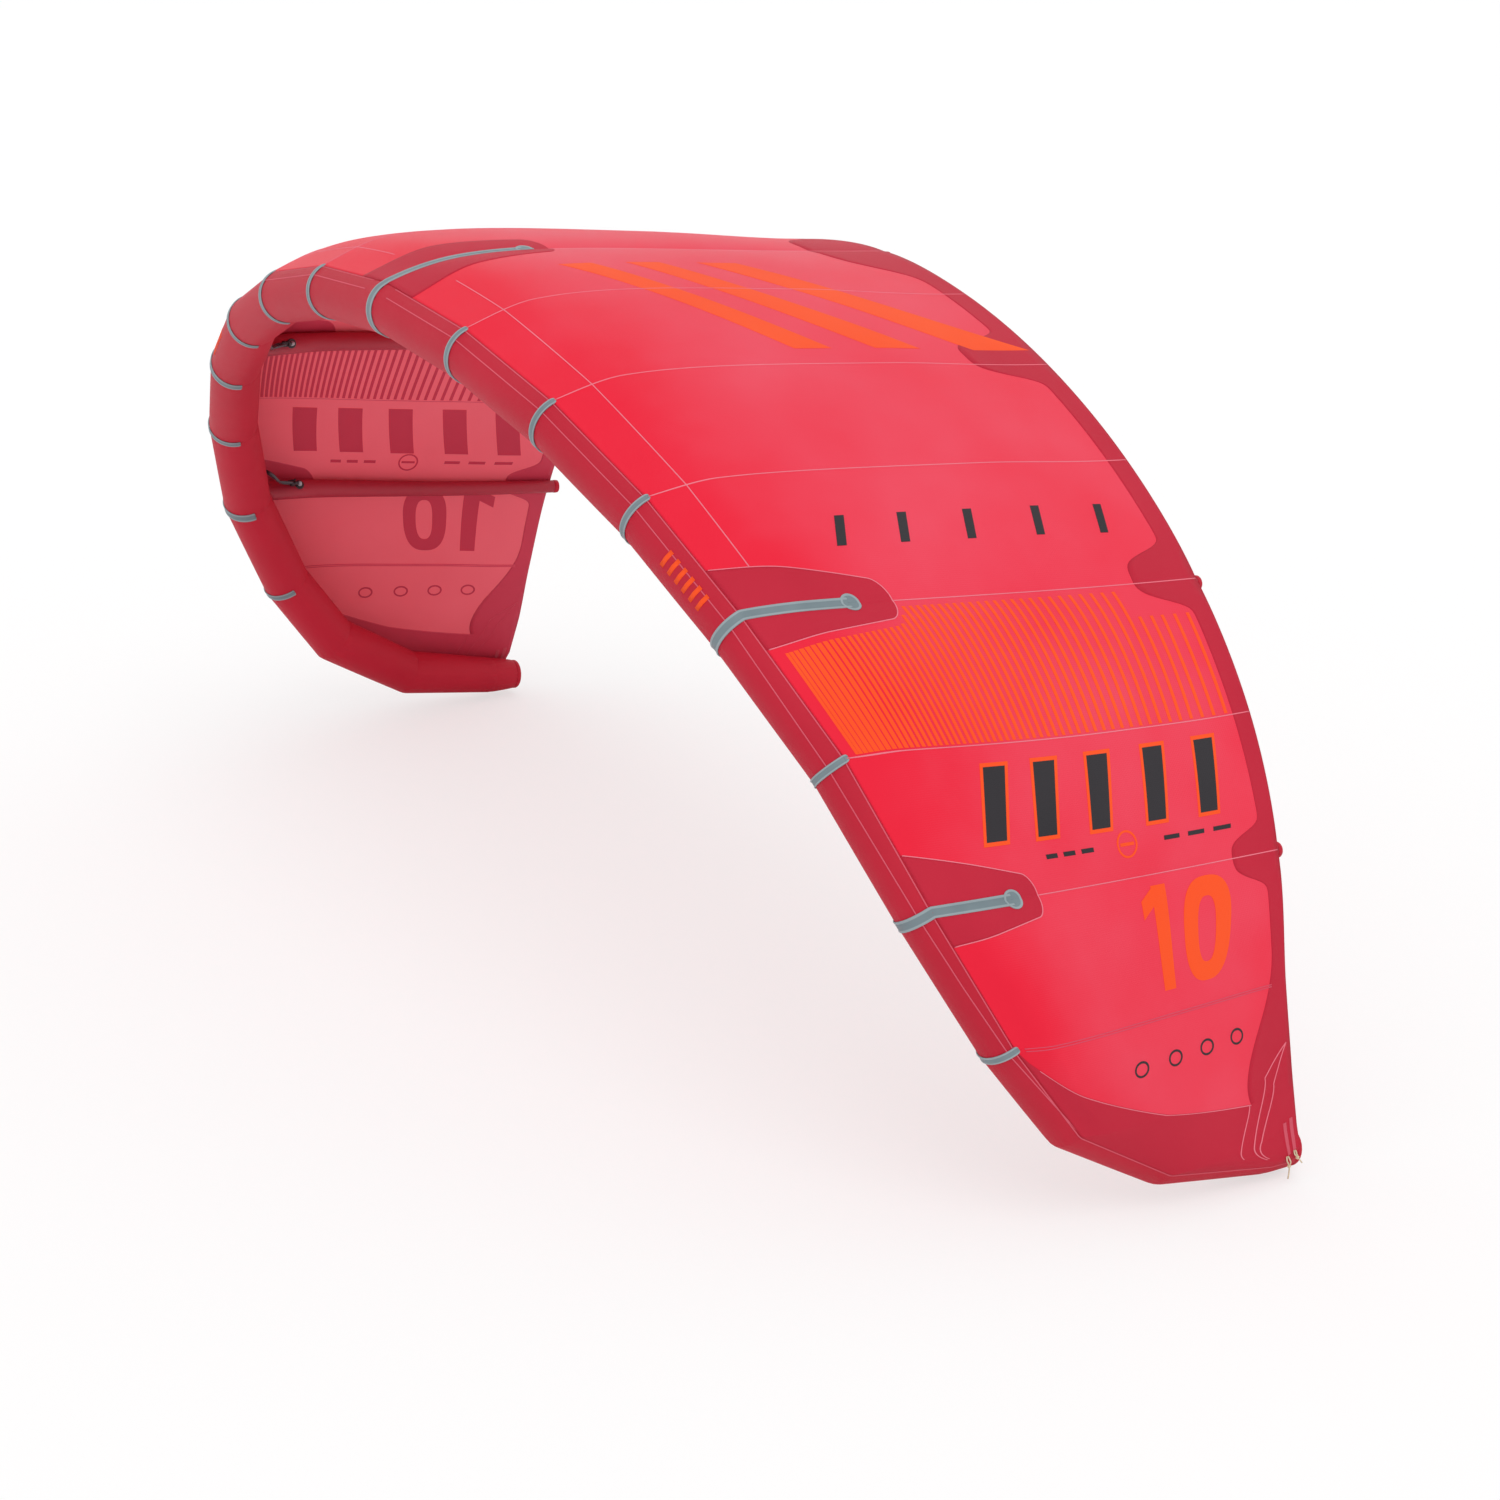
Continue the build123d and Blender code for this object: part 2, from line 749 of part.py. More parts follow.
clip_names = {0: ["centre"], 4: ["right_inner", "left_inner"], 6: ["right_outer", "left_outer"]}
clip_setback = nozzle_length - stem_radius + clip_length / 2 + 2
clips = []
for station in patch_stations:
    seat, radial, nozzle_axis = strut_fitting_place(station)
    middle = hose_end(seat, radial, nozzle_axis) + nozzle_axis * clip_setback
    frame = Plane(origin=middle, x_dir=nozzle_axis, z_dir=radial)
    clips += sided(station, clip_body().moved(frame.location))
    levers = sided(station, clip_lever().moved(frame.location))
    for name, lever in zip(clip_names[station], levers):
        write(name + "_clip_lever", [lever])
write("hose_clips", clips)

# ---- Inflation valve ------------------------------------------------------------------------
# Modelled with Z out of the tube and X along the leading edge.

valve_seat_location = valve_plane(0).location
valve_cover = tube_body(0, clearance, mitre_reach)
collar_low = valve_flange_height + lock_ring_height + 2 * clearance
collar_high = collar_low + collar_height
cap_low = valve_body_height + clearance
cap_pin_height = cap_low + barrel_radius
cap_barrel_half = 4.6
cap_ear_low = cap_barrel_half + clearance
cap_ear_high = cap_ear_low + ear_thickness
cap_ear_reach = cap_hinge_offset + barrel_radius
flap_pin_bore = flap_pin_radius + clearance / 2
flap_high = chamber_height - clearance
flap_pin_height = flap_high - flap_barrel_radius
flap_barrel_half = 4


def disc(radius, low, high):
    """Cylinder on the valve's own axis between two heights."""
    return Solid.make_cylinder(radius, high - low, Plane(origin=(0, 0, low)))


def valve_body():
    """Flange, neck and collar of the valve, with the ears of its cap and the bar of its flap."""
    body = disc(valve_flange_radius, -saddle_depth, valve_flange_height)
    body = body.fuse(disc(valve_body_radius, 0, valve_body_height), disc(collar_radius, collar_low, collar_high))
    ear_inner = valve_body_radius + 1.5
    foot = block(-cap_ear_reach, -valve_body_radius + 1, -cap_ear_high, cap_ear_high, collar_low, collar_high)
    ears = [block(-cap_ear_reach, -ear_inner, y, y + ear_thickness, collar_low, cap_pin_height + barrel_radius)
            for y in (cap_ear_low, -cap_ear_high)]
    body = body.fuse(foot, *ears, cross_pin(pin_radius, cap_ear_high, -cap_hinge_offset, cap_pin_height))
    body = body - disc(valve_chamber_radius, -saddle_depth, chamber_height)
    body = body - disc(valve_bore_radius, 0, valve_body_height)
    body = largest(body - disc(valve_mouth_radius, valve_body_height - valve_mouth_depth, valve_body_height))
    bar = cross_pin(flap_pin_radius, valve_bore_radius, -flap_hinge_offset, flap_pin_height)
    return largest(body.fuse(bar).moved(valve_seat_location) - valve_cover)


def valve_lock_ring():
    """Ring with finger lugs that turns between the flange and the collar."""
    low = valve_flange_height + clearance
    high = low + lock_ring_height
    outer = valve_body_radius + clearance + lock_ring_wall
    ring = disc(outer, low, high)
    for lug in range(lock_ring_lugs):
        angle = 360 / lock_ring_lugs * lug
        centre = Vector(outer, 0, low).rotate(Axis.Z, angle)
        ring = ring.fuse(Solid.make_cylinder(lock_lug_radius, lock_ring_height, Plane(centre)))
    return largest(ring - disc(valve_body_radius + clearance, low, high))


def valve_cap():
    """Hinged cap with its plug and pull tab."""
    high = cap_low + cap_thickness
    cap = disc(valve_body_radius + 1, cap_low, high)
    plug = disc(valve_mouth_radius - 0.5, cap_low - cap_plug_depth, cap_low)
    neck = block(-cap_hinge_offset, 1 - valve_body_radius, -cap_barrel_half, cap_barrel_half, cap_low, high)
    tab = block(valve_body_radius, valve_body_radius + 9, -5, 5, cap_low, high - 1)
    barrel = cross_pin(barrel_radius, cap_barrel_half, -cap_hinge_offset, cap_pin_height)
    cap = cap.fuse(plug, neck, tab, barrel)
    return largest(cap - cross_pin(pin_bore, cap_barrel_half, -cap_hinge_offset, cap_pin_height))


def valve_flap():
    """Check flap that closes the bore from inside."""
    flap = disc(valve_bore_radius + flap_overlap, flap_high - flap_thickness, flap_high)
    barrel = cross_pin(flap_barrel_radius, flap_barrel_half, -flap_hinge_offset, flap_pin_height)
    return largest(flap.fuse(barrel) - cross_pin(flap_pin_bore, valve_bore_radius, -flap_hinge_offset,
                                                 flap_pin_height))


write("inflation_valve_body", [valve_body()])
write("valve_lock_ring", [valve_lock_ring().moved(valve_seat_location)])
write("valve_cap", [valve_cap().moved(valve_seat_location)])
write("valve_check_flap", [valve_flap().moved(valve_seat_location)])

# ---- Pump leash loop ------------------------------------------------------------------------


def leash_loop():
    """Webbing loop that stands on the leading edge on two sewn feet."""
    axis_point, axis, radial = segment_frame(0, leash_offset, valve_angle)
    frame = Plane(origin=axis_point + radial * tube_radii[0], x_dir=axis, z_dir=radial)
    outer = leash_loop_radius + webbing_thickness
    half = leash_width / 2
    centre_height = outer + clearance
    start = Vector(-half, 0, centre_height)
    ring = cone_along(start, Vector(1, 0, 0), outer, outer, leash_width)
    feet = block(-half, half, -leash_foot, leash_foot, -saddle_depth, clearance + webbing_thickness)
    loop = ring.fuse(feet) - cone_along(start, Vector(1, 0, 0), leash_loop_radius, leash_loop_radius, leash_width)
    return largest(largest(loop).moved(frame.location) - valve_cover)


write("pump_leash_loop", [leash_loop()])

# ---- Wing tip webbing -----------------------------------------------------------------------


def webbing_foot(setback):
    """Point, direction to the front and outward normal at the lower end of a webbing strip."""
    section = sections[last - 1]
    share = share_of_length(section, section_length(section) - setback)
    point, tangent, normal = point_on(section, share)
    return point, tangent * -1, normal


def webbing_strip(setback, low, high):
    """Strip that follows the cloth of the wing tip, up from its foot and along the trailing edge."""
    point, front, normal = webbing_foot(setback)
    upper = sections[tip_station + 1]
    share = share_of_length(upper, section_length(upper) - setback)
    rise = (point_on(upper, share)[0] - point).normalized()
    frame = Plane(origin=point, x_dir=front - rise * front.dot(rise), z_dir=rise)
    half = webbing_width / 2
    slab = block(-half, half, -webbing_slab, webbing_slab, 0, webbing_length).moved(frame.location)
    pieces = [cloth_piece(sections[k], sections[k + 1], low, high) for k in (tip_station + 1, tip_station + 2)]
    pieces = [largest(piece & slab) for piece in pieces]
    return largest(pieces[0].fuse(pieces[1]))


webbing_solids = []
for setback in webbing_setbacks:
    for low in (cloth + clearance, -clearance - webbing_thickness):
        webbing_solids.append(webbing_strip(setback, low, low + webbing_thickness))
write("tip_webbing", both_sides(webbing_solids))

# ---- Tip lines ------------------------------------------------------------------------------
# Each line leaves its webbing in two strands, is knotted below the tube and ends in a bare tail.
# The routes are offsets from the middle of the webbing's lower end, on the right wing tip.

line_lift = cloth + clearance + line_radius
knot_distance = 8.5
line_routes = {
    "front": [(0, -2.2, 0), (1.5, -3.5, -12), (1.5, 4, -23), (0.5, 9.5, -44), (-1, 6, -70)],
    "rear": [(0, -2.2, 0), (1, -1.5, -9), (1.5, 3.5, -17), (2.5, 17, -31), (2, 26, -43)],
}
strand_routes = {
    "front": [(0, 2.2, 0), (1.5, 6.5, -9), (1.4, 11.5, -18), (1.3, 9.5, -27)],
    "rear": [(0, 2.2, 0), (1, 5.5, -7), (1.6, 6.5, -13), (1.75, 9.7, -17.7)],
}
line_knots = []
line_strands = []
for name, setback in zip(line_routes, webbing_setbacks):
    point, front, normal = webbing_foot(setback)
    start = point + normal * line_lift
    route = [start + Vector(*offset) for offset in line_routes[name]]
    print("tip line", name, [round(r, 1) for r in route_radii(route)])
    line = tube_along(route, line_radius)
    write(f"right_{name}_tip_line", [line])
    write(f"left_{name}_tip_line", [line.mirror(Plane.YZ)])
    line_strands.append(tube_along([start + Vector(*offset) for offset in strand_routes[name]], line_radius))
    fall = (route[3] - route[2]).normalized()
    knot_top = route[2] + fall * (knot_distance - knot_length / 2)
    knot = cone_along(knot_top, fall, knot_radius, knot_radius, knot_length)
    knot = knot.fillet(knot_round, knot.edges().filter_by(GeomType.CIRCLE))
    line_knots.append(largest(knot - cone_along(knot_top, fall, line_radius, line_radius, knot_length)))
write("tip_line_strands", both_sides(line_strands))
write("tip_line_knots", both_sides(line_knots))
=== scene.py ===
# %% [markdown]
# # An inflatable kitesurf kite
# The kite is an air frame with cloth on it. A long tube bends down to both wing tips, five
# thinner tubes run back from it, and one thin canopy is stretched over them all.

# %% Load the frame
import math

import bpy
import numpy as np
from mathutils import Matrix, Vector


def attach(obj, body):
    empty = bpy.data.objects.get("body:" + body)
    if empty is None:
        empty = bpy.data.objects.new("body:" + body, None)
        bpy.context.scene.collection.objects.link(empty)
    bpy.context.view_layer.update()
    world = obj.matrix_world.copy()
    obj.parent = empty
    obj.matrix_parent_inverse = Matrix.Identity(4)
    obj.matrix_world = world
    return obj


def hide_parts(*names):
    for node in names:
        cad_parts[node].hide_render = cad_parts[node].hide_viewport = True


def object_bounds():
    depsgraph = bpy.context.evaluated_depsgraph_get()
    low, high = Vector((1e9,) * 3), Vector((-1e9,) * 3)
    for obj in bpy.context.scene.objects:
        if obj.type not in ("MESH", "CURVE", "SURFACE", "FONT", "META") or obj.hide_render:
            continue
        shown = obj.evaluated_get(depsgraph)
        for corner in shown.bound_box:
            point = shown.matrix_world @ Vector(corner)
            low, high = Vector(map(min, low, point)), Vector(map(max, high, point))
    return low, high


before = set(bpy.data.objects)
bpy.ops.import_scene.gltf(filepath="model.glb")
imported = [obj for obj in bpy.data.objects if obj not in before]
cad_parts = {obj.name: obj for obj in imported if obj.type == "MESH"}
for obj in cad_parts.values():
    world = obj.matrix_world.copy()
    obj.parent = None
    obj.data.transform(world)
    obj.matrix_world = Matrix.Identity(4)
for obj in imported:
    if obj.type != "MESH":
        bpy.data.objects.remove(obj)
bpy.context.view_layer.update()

# %% [markdown]
# ## The camera comes first
# The kite is seen from in front of its right wing tip and a little above, from 10.9 m away. A
# long lens keeps both tips in proportion. The camera's axes are set from its line of sight.

# %% Camera
CAMERA_DISTANCE = 10.9
CAMERA_PLACE = (65.80, 12.46)  # azimuth and elevation of the camera about the origin, degrees
CAMERA_SIGHT = (60.20, 19.37)  # azimuth and elevation that its line of sight comes from
CAMERA_LENS = 88.3


def from_angles(azimuth, elevation):
    """Unit vector towards an azimuth, measured from -Y towards +X, and an elevation."""
    a, e = math.radians(azimuth), math.radians(elevation)
    return Vector((math.sin(a) * math.cos(e), -math.cos(a) * math.cos(e), math.sin(e)))


camera_data = bpy.data.cameras.new("camera")
camera_data.lens = CAMERA_LENS
camera_data.sensor_width = 36
camera_data.clip_end = 100
camera = bpy.data.objects.new("camera", camera_data)
bpy.context.scene.collection.objects.link(camera)
backward = from_angles(*CAMERA_SIGHT)
camera.matrix_world = (Matrix.Translation(from_angles(*CAMERA_PLACE) * CAMERA_DISTANCE)
                       @ backward.to_track_quat("Z", "Y").to_matrix().to_4x4())
bpy.context.scene.camera = camera

# %% [markdown]
# ## Lines at the wing tips
# A short braided line hangs from each of the two webbing strips of a wing tip and ends in a
# tail. It is a curve with a round bevel, laid through the points where it bends.

# %% Tip lines
line_routes = {
    "front": [(0, -2.2, 0), (1.5, -3.5, -12), (1.5, 4, -23), (0.5, 9.5, -44), (-1, 6, -70)],
    "rear": [(0, -2.2, 0), (1, -1.5, -9), (1.5, 3.5, -17), (2.5, 17, -31), (2, 26, -43)],
}
line_starts = {"front": (2.48657, 1.47513, -2.05522), "rear": (2.48393, 1.50101, -2.04358)}
line_curves = {}
for name, offsets in line_routes.items():
    for side, side_name in ((1, "right"), (-1, "left")):
        path = np.array(line_starts[name]) + np.array(offsets) / 1000
        path = path * [side, 1, 1]
        data = bpy.data.curves.new(f"{side_name}_{name}_line_braid", "CURVE")
        data.dimensions = "3D"
        data.bevel_depth = 0.002
        data.bevel_resolution = 4
        data.resolution_u = 12
        data.use_fill_caps = True
        spline = data.splines.new("NURBS")
        spline.points.add(len(path) - 1)
        spline.points.foreach_set("co", np.column_stack([path, np.ones(len(path))]).ravel())
        spline.order_u = 3
        spline.use_endpoint_u = True
        curve = bpy.data.objects.new(f"{side_name}_{name}_line_braid", data)
        bpy.context.scene.collection.objects.link(curve)
        line_curves[side_name, name] = curve, path
print(len(line_curves), "tip lines")

# %% [markdown]
# ## Where the cloth and the tubes lie
# The leading edge is sewn from straight segments, and a station is a seam between two of them.
# Each station has a ring round the tube and a canopy line that runs back from the ring, a
# Bezier line of four control points. These values are the kite's own pattern, in metres, and
# every surface below is worked out from them.

# %% Pattern of the kite
segment_lengths = np.array([485, 475, 455, 435, 455, 430, 420, 325, 345, 350, 95]) / 1000
arch_angles = np.radians([5, 13, 22, 32, 42, 58, 72, 84, 90, 90, 90])
sweep_angles = np.radians([2, 4, 7, 10, 14, 17, 26, 36, 59, 79, 83])
tube_radii = np.array([84, 84, 84, 84, 84, 84, 84, 84, 84, 80, 66, 54]) / 1000
edge_reach = np.array([1680, 1676, 1670, 1665, 1658, 1632, 1602, 1565, 1549, 1532, 1522, 1516]) / 1000
edge_drop = np.array([5, 13, 30, 50, 70, 85, 85, 80, 30, -30, -60, -62]) / 1000
edge_fan = np.array([0, 0, 2, 17, 42, 45, 46, 50, 20, 0, -20, -12]) / 1000
seam_angle = math.radians(20)
front_fullness = np.array([0.20, 0.20, 0.17, 0.14, 0.12, 0.13, 0.16, 0.22, 0.24, 0.245, 0.233, 0.22])
rear_fullness = 0.56
edge_slope = np.radians([2.5, 2.5, 3, 4, 4.5, 1.5, 0.5, 0, 4, 7, 8, 8])
side_bow = np.array([0, 0, 25, 50, 60, 50, 10, 0, 0, 0, 0, 0]) / 1000
corner_setback = 0.045
clearance = 0.0003
cloth = 0.0015
last = len(segment_lengths)
struts = (0, 4, 6)
back = np.array([0.0, 1.0, 0.0])


def unit(v):
    """The same vectors at length one."""
    return v / np.linalg.norm(v, axis=-1, keepdims=True)


directions = np.stack([np.cos(arch_angles) * np.cos(sweep_angles), np.sin(sweep_angles),
                       -np.sin(arch_angles) * np.cos(sweep_angles)], axis=1)
centres = np.concatenate([np.zeros((1, 3)), np.cumsum(directions * segment_lengths[:, None], axis=0)])
station_arch = np.concatenate([[0], (arch_angles[:-1] + arch_angles[1:]) / 2, [arch_angles[-1]]])
outward = np.stack([np.sin(station_arch), 0 * station_arch, np.cos(station_arch)], axis=1)
along = np.stack([np.cos(station_arch), 0 * station_arch, -np.sin(station_arch)], axis=1)
seam_normals = unit(np.concatenate([[[1, 0, 0]], directions[:-1] + directions[1:], directions[-1:]]))
ring_front = unit(seam_normals * seam_normals[:, 1:2] - back)
ring_up = np.cross(seam_normals, ring_front)
ring_up *= np.sign(np.sum(ring_up * outward, axis=1))[:, None]
station_span = np.concatenate([[0], np.cumsum(segment_lengths)])


def ring_point(station, angle, offset, segment):
    """Point on the ring of a station: where the generator of a segment's round surface, moved
    out by an offset, meets the seam plane."""
    radial = ring_up[station] * math.cos(angle) + ring_front[station] * math.sin(angle)
    stretch = math.sqrt(1 - float(radial @ directions[segment]) ** 2)
    return centres[station] + radial * (tube_radii[station] + offset) / stretch


def section_at(k):
    """Four control points of the canopy line at a station. The line leaves the ring as a
    tangent, bows a little towards the wing tip, and has its own slope at the trailing edge."""
    growth = (tube_radii[-2] - tube_radii[-1]) / segment_lengths[-1] * corner_setback
    offset = clearance + (growth if k == last else 0)
    start = ring_point(k, seam_angle, offset, min(k, last - 1))
    if k == last:
        start = start - directions[-1] * corner_setback
    foot = np.array([centres[k, 0], edge_reach[k], centres[k, 2]])
    end = foot - outward[k] * edge_drop[k] + along[k] * edge_fan[k]
    size = np.linalg.norm(end - start)
    chord = (end - start) / size
    lift = unit(outward[k] - chord * (outward[k] @ chord))
    radial = ring_up[k] * math.cos(seam_angle) + ring_front[k] * math.sin(seam_angle)
    rise = math.atan2(-chord @ radial, lift @ radial)
    bow = along[k] * side_bow[k]
    tangent = chord * math.cos(rise) + lift * math.sin(rise)
    first = start + tangent * front_fullness[k] * size + bow / 2
    fall = chord * math.cos(edge_slope[k]) - lift * math.sin(edge_slope[k])
    second = end - fall * rear_fullness * size + bow
    return [start, first, second, end]


sections = np.array([section_at(k) for k in range(last + 1)])
mirror = np.array([-1.0, 1.0, 1.0])
padded = np.concatenate([sections[1:2] * mirror, sections, 2 * sections[-1:] - sections[-2:-1]])
print("span of one half along the tube", round(float(station_span[-1]), 3), "m")

# %% [markdown]
# ## The canopy as one function
# A point of the cloth has two numbers: u, which counts stations from the middle and is negative
# on the left, and v, which goes from the front seam to the trailing edge. Close to the tube the
# cloth follows the straight segments, and further back it curves smoothly across the seams.
# Air lifts the cloth between the struts, and each strut holds it down in a crease.

# %% Canopy surface
CREASE_DEPTH = 0.020  # how far the air lifts the cloth between two struts
CREASE_WIDTH = 0.085  # how fast the lift grows away from a strut
EVEN_FULLNESS = (0.36, 0.22)  # in the middle and at the wing tip
TIP_FROM, TIP_SPAN = 7, 1.5  # stations over which the cloth goes straight towards the tip
STEP = 1e-3  # small step in u or v, to measure directions on the cloth


def smooth_step(x):
    """From 0 to 1 with level ends."""
    x = np.clip(x, 0, 1)
    return x * x * (3 - 2 * x)


def travelled(points):
    """Distance along a line of points, from nought at its first one."""
    return np.concatenate([[0], np.cumsum(np.linalg.norm(np.diff(points, axis=0), axis=1))])


def bezier(p, v):
    """Point of a cubic Bezier line, p (..., 4, 3), at v (...)."""
    v = v[..., None]
    return ((1 - v) ** 3 * p[..., 0, :] + 3 * v * (1 - v) ** 2 * p[..., 1, :]
            + 3 * v ** 2 * (1 - v) * p[..., 2, :] + v ** 3 * p[..., 3, :])


def chord_share(fullness, w):
    """Share of the chord that a canopy line has covered at its own parameter w."""
    return 3 * w * (1 - w) ** 2 * fullness + 3 * w ** 2 * (1 - w) * (1 - rear_fullness) + w ** 3


def own_parameter(a, v):
    """A line with little fullness starts slowly. So v is turned into the parameter at which the
    line has covered as much of the chord as an evenly full line has at v, by Newton's steps."""
    goal = chord_share(EVEN_FULLNESS[0] + (EVEN_FULLNESS[1] - EVEN_FULLNESS[0]) * a / last, v)
    fullness = np.interp(a, np.arange(last + 1), front_fullness)
    w = v
    for _ in range(9):
        slope = 3 * fullness * (1 - w) * (1 - 3 * w) + 3 * (1 - rear_fullness) * w * (2 - 3 * w) + 3 * w ** 2
        w = np.clip(w - (chord_share(fullness, w) - goal) / slope, 0, 1)
    return w


def bare_canopy(u, v):
    """Right-hand canopy without its creases: a blend of the straight ruling between two canopy
    lines and a Catmull-Rom curve through four of them."""
    k = np.clip(np.floor(u).astype(int), 0, last - 1)
    t = (u - k)[..., None, None]
    before, a, b, after = (padded[k + i] for i in range(4))
    ruled = a + (b - a) * t
    curved = a + 0.5 * t * (b - before + t * (2 * before - 5 * a + 4 * b - after
                                              + t * (3 * (a - b) + after - before)))
    weight = smooth_step(v / 0.16) * (1 - smooth_step((u - TIP_FROM) / TIP_SPAN))
    return bezier(ruled + (curved - ruled) * weight[..., None, None], own_parameter(u, v))


def canopy(u, v, height=0.0):
    """Point of the cloth's middle at (u, v), moved out of the arch by a height."""
    u, v, height = np.broadcast_arrays(np.asarray(u, float), np.asarray(v, float), height)
    side = np.where(u < 0, -1.0, 1.0)
    a = np.clip(np.abs(u), 0, last)
    point = bare_canopy(a, v)
    across = bare_canopy(np.clip(a + STEP, 0, last), v) - bare_canopy(np.clip(a - STEP, 0, last), v)
    behind = bare_canopy(a, np.clip(v + STEP, 0, 1)) - bare_canopy(a, np.clip(v - STEP, 0, 1))
    normal = unit(np.cross(across, behind))
    span = np.interp(a, np.arange(last + 1), station_span)
    nearest = np.min([np.abs(span - station_span[k]) for k in struts], axis=0)
    lift = CREASE_DEPTH * (1 - np.exp(-nearest / CREASE_WIDTH))
    lift = lift * smooth_step(v / 0.14) * (1 - 0.8 * smooth_step((v - 0.75) / 0.25))
    lift = lift * (1 - smooth_step((a - TIP_FROM) / TIP_SPAN))
    point = point + normal * (lift + cloth / 2 + height)[..., None]
    point[..., 0] *= side
    return point


def spacing(u, v):
    """Length of cloth per unit of u and per unit of v."""
    reach = 0.01
    across = canopy(u + reach, v) - canopy(u - reach, v)
    behind = canopy(u, np.minimum(v + reach, 1)) - canopy(u, np.maximum(v - reach, 0))
    return np.linalg.norm(across, axis=-1) / (2 * reach), np.linalg.norm(behind, axis=-1) / (2 * reach)


def place_at(station, length):
    """The v at which the canopy line of a station is a length long."""
    v = np.linspace(0, 1, 401)
    return float(np.interp(length, travelled(canopy(np.full(401, float(station)), v)), v))


middle_line = travelled(canopy(np.zeros(50), np.linspace(0, 1, 50)))
print("the canopy's middle line is", round(float(middle_line[-1]), 3), "m long")

# %% [markdown]
# ## Meshes from grids
# Every surface here is a grid of points worked out at once with numpy. Three ways of closing a
# grid are enough: a thin shell between two grids, a body of rings with its two ends shut, and a
# ring of rings such as a pipe with a wall. The winding is checked, so that faces point outwards.

# %% Mesh helpers
def grid_faces(rows, columns, wrap_rows=False, wrap_columns=False):
    """Corner numbers of the quads between neighbours of a grid, row by row."""
    i = np.arange(rows if wrap_rows else rows - 1)[:, None]
    j = np.arange(columns if wrap_columns else columns - 1)[None, :]
    i2, j2 = (i + 1) % rows, (j + 1) % columns
    corners = [i * columns + j, i2 * columns + j, i2 * columns + j2, i * columns + j2]
    return np.stack(np.broadcast_arrays(*corners), axis=-1).reshape(-1, 4)


def face_lists(faces):
    """The faces as plain lists, from an array or from lists."""
    return faces.tolist() if isinstance(faces, np.ndarray) else faces


def build(name, parts, materials, replaces=(), smooth=True):
    """One piece from parts (points, faces, uv, material numbers), which rides on the kite."""
    points, faces, uvs, numbers, start = [], [], [], [], 0
    for part_points, part_faces, part_uv, part_numbers in parts:
        points.append(part_points)
        faces += [[corner + start for corner in face] for face in face_lists(part_faces)]
        uvs.append(part_uv)
        numbers.append(np.broadcast_to(part_numbers, len(part_faces)))
        start += len(part_points)
    mesh = bpy.data.meshes.new(name)
    mesh.from_pydata(np.concatenate(points).tolist(), [], faces)
    corner_of = np.empty(len(mesh.loops), np.int32)
    mesh.loops.foreach_get("vertex_index", corner_of)
    layer = mesh.uv_layers.new(name="surface")
    layer.data.foreach_set("uv", np.concatenate(uvs)[corner_of].astype(np.float32).ravel())
    mesh.polygons.foreach_set("material_index", np.concatenate(numbers).astype(np.int32))
    mesh.polygons.foreach_set("use_smooth", np.full(len(mesh.polygons), smooth))
    mesh.update()
    piece = bpy.data.objects.new(name, mesh)
    bpy.context.scene.collection.objects.link(piece)
    for material in materials:
        mesh.materials.append(material)
    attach(piece, "kite")
    if replaces:
        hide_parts(*replaces)
    return piece


def shell(top, bottom, uv, wrap=False):
    """Closed shell between an upper and a lower grid (rows, columns, 3). Its upper side and its
    rim have material 0 and its lower side has material 1. With wrap, the rows close in a ring."""
    rows, columns = top.shape[:2]
    turn = np.cross(np.diff(top, axis=0)[:, :-1], np.diff(top, axis=1)[:-1])
    if np.sum(turn * (top - bottom)[:-1, :-1]) < 0:
        top, bottom, uv = top[:, ::-1], bottom[:, ::-1], uv[:, ::-1]
    count = rows * columns
    upper = grid_faces(rows, columns, wrap_rows=wrap)
    number = np.arange(count).reshape(rows, columns)
    if wrap:
        loops = [np.append(number[:, 0], number[0, 0]), np.append(number[::-1, -1], number[-1, -1])]
    else:
        loops = [np.concatenate([number[:, 0], number[-1, 1:], number[-2::-1, -1], number[0, -2::-1]])]
    walls = [np.stack([loop[1:], loop[:-1], loop[:-1] + count, loop[1:] + count], axis=1)
             for loop in loops]
    faces = np.concatenate([upper, upper[:, ::-1] + count] + walls)
    numbers = np.zeros(len(faces), int)
    numbers[len(upper):2 * len(upper)] = 1
    points = np.concatenate([top.reshape(-1, 3), bottom.reshape(-1, 3)])
    return points, faces, np.concatenate([uv.reshape(-1, 2)] * 2), numbers


def outward_rings(rings):
    """The same rings, in the order in which their quads face away from the ring centres."""
    middle = rings.mean(axis=1, keepdims=True)
    ahead = np.diff(rings, axis=0)
    around = np.roll(rings, -1, axis=1) - rings
    turn = np.sum(np.cross(ahead, around[:-1]) * (rings - middle)[:-1])
    return rings if turn > 0 else rings[:, ::-1]


def ring_uv(rings):
    """Distance along the body and distance round it, in metres, for each point."""
    ahead = travelled(rings.mean(axis=1))
    girth = np.linalg.norm(np.roll(rings, -1, axis=1) - rings, axis=2).sum(axis=1)
    share = np.arange(rings.shape[1]) / rings.shape[1]
    return np.stack([np.broadcast_to(ahead[:, None], rings.shape[:2]), girth[:, None] * share], axis=-1)


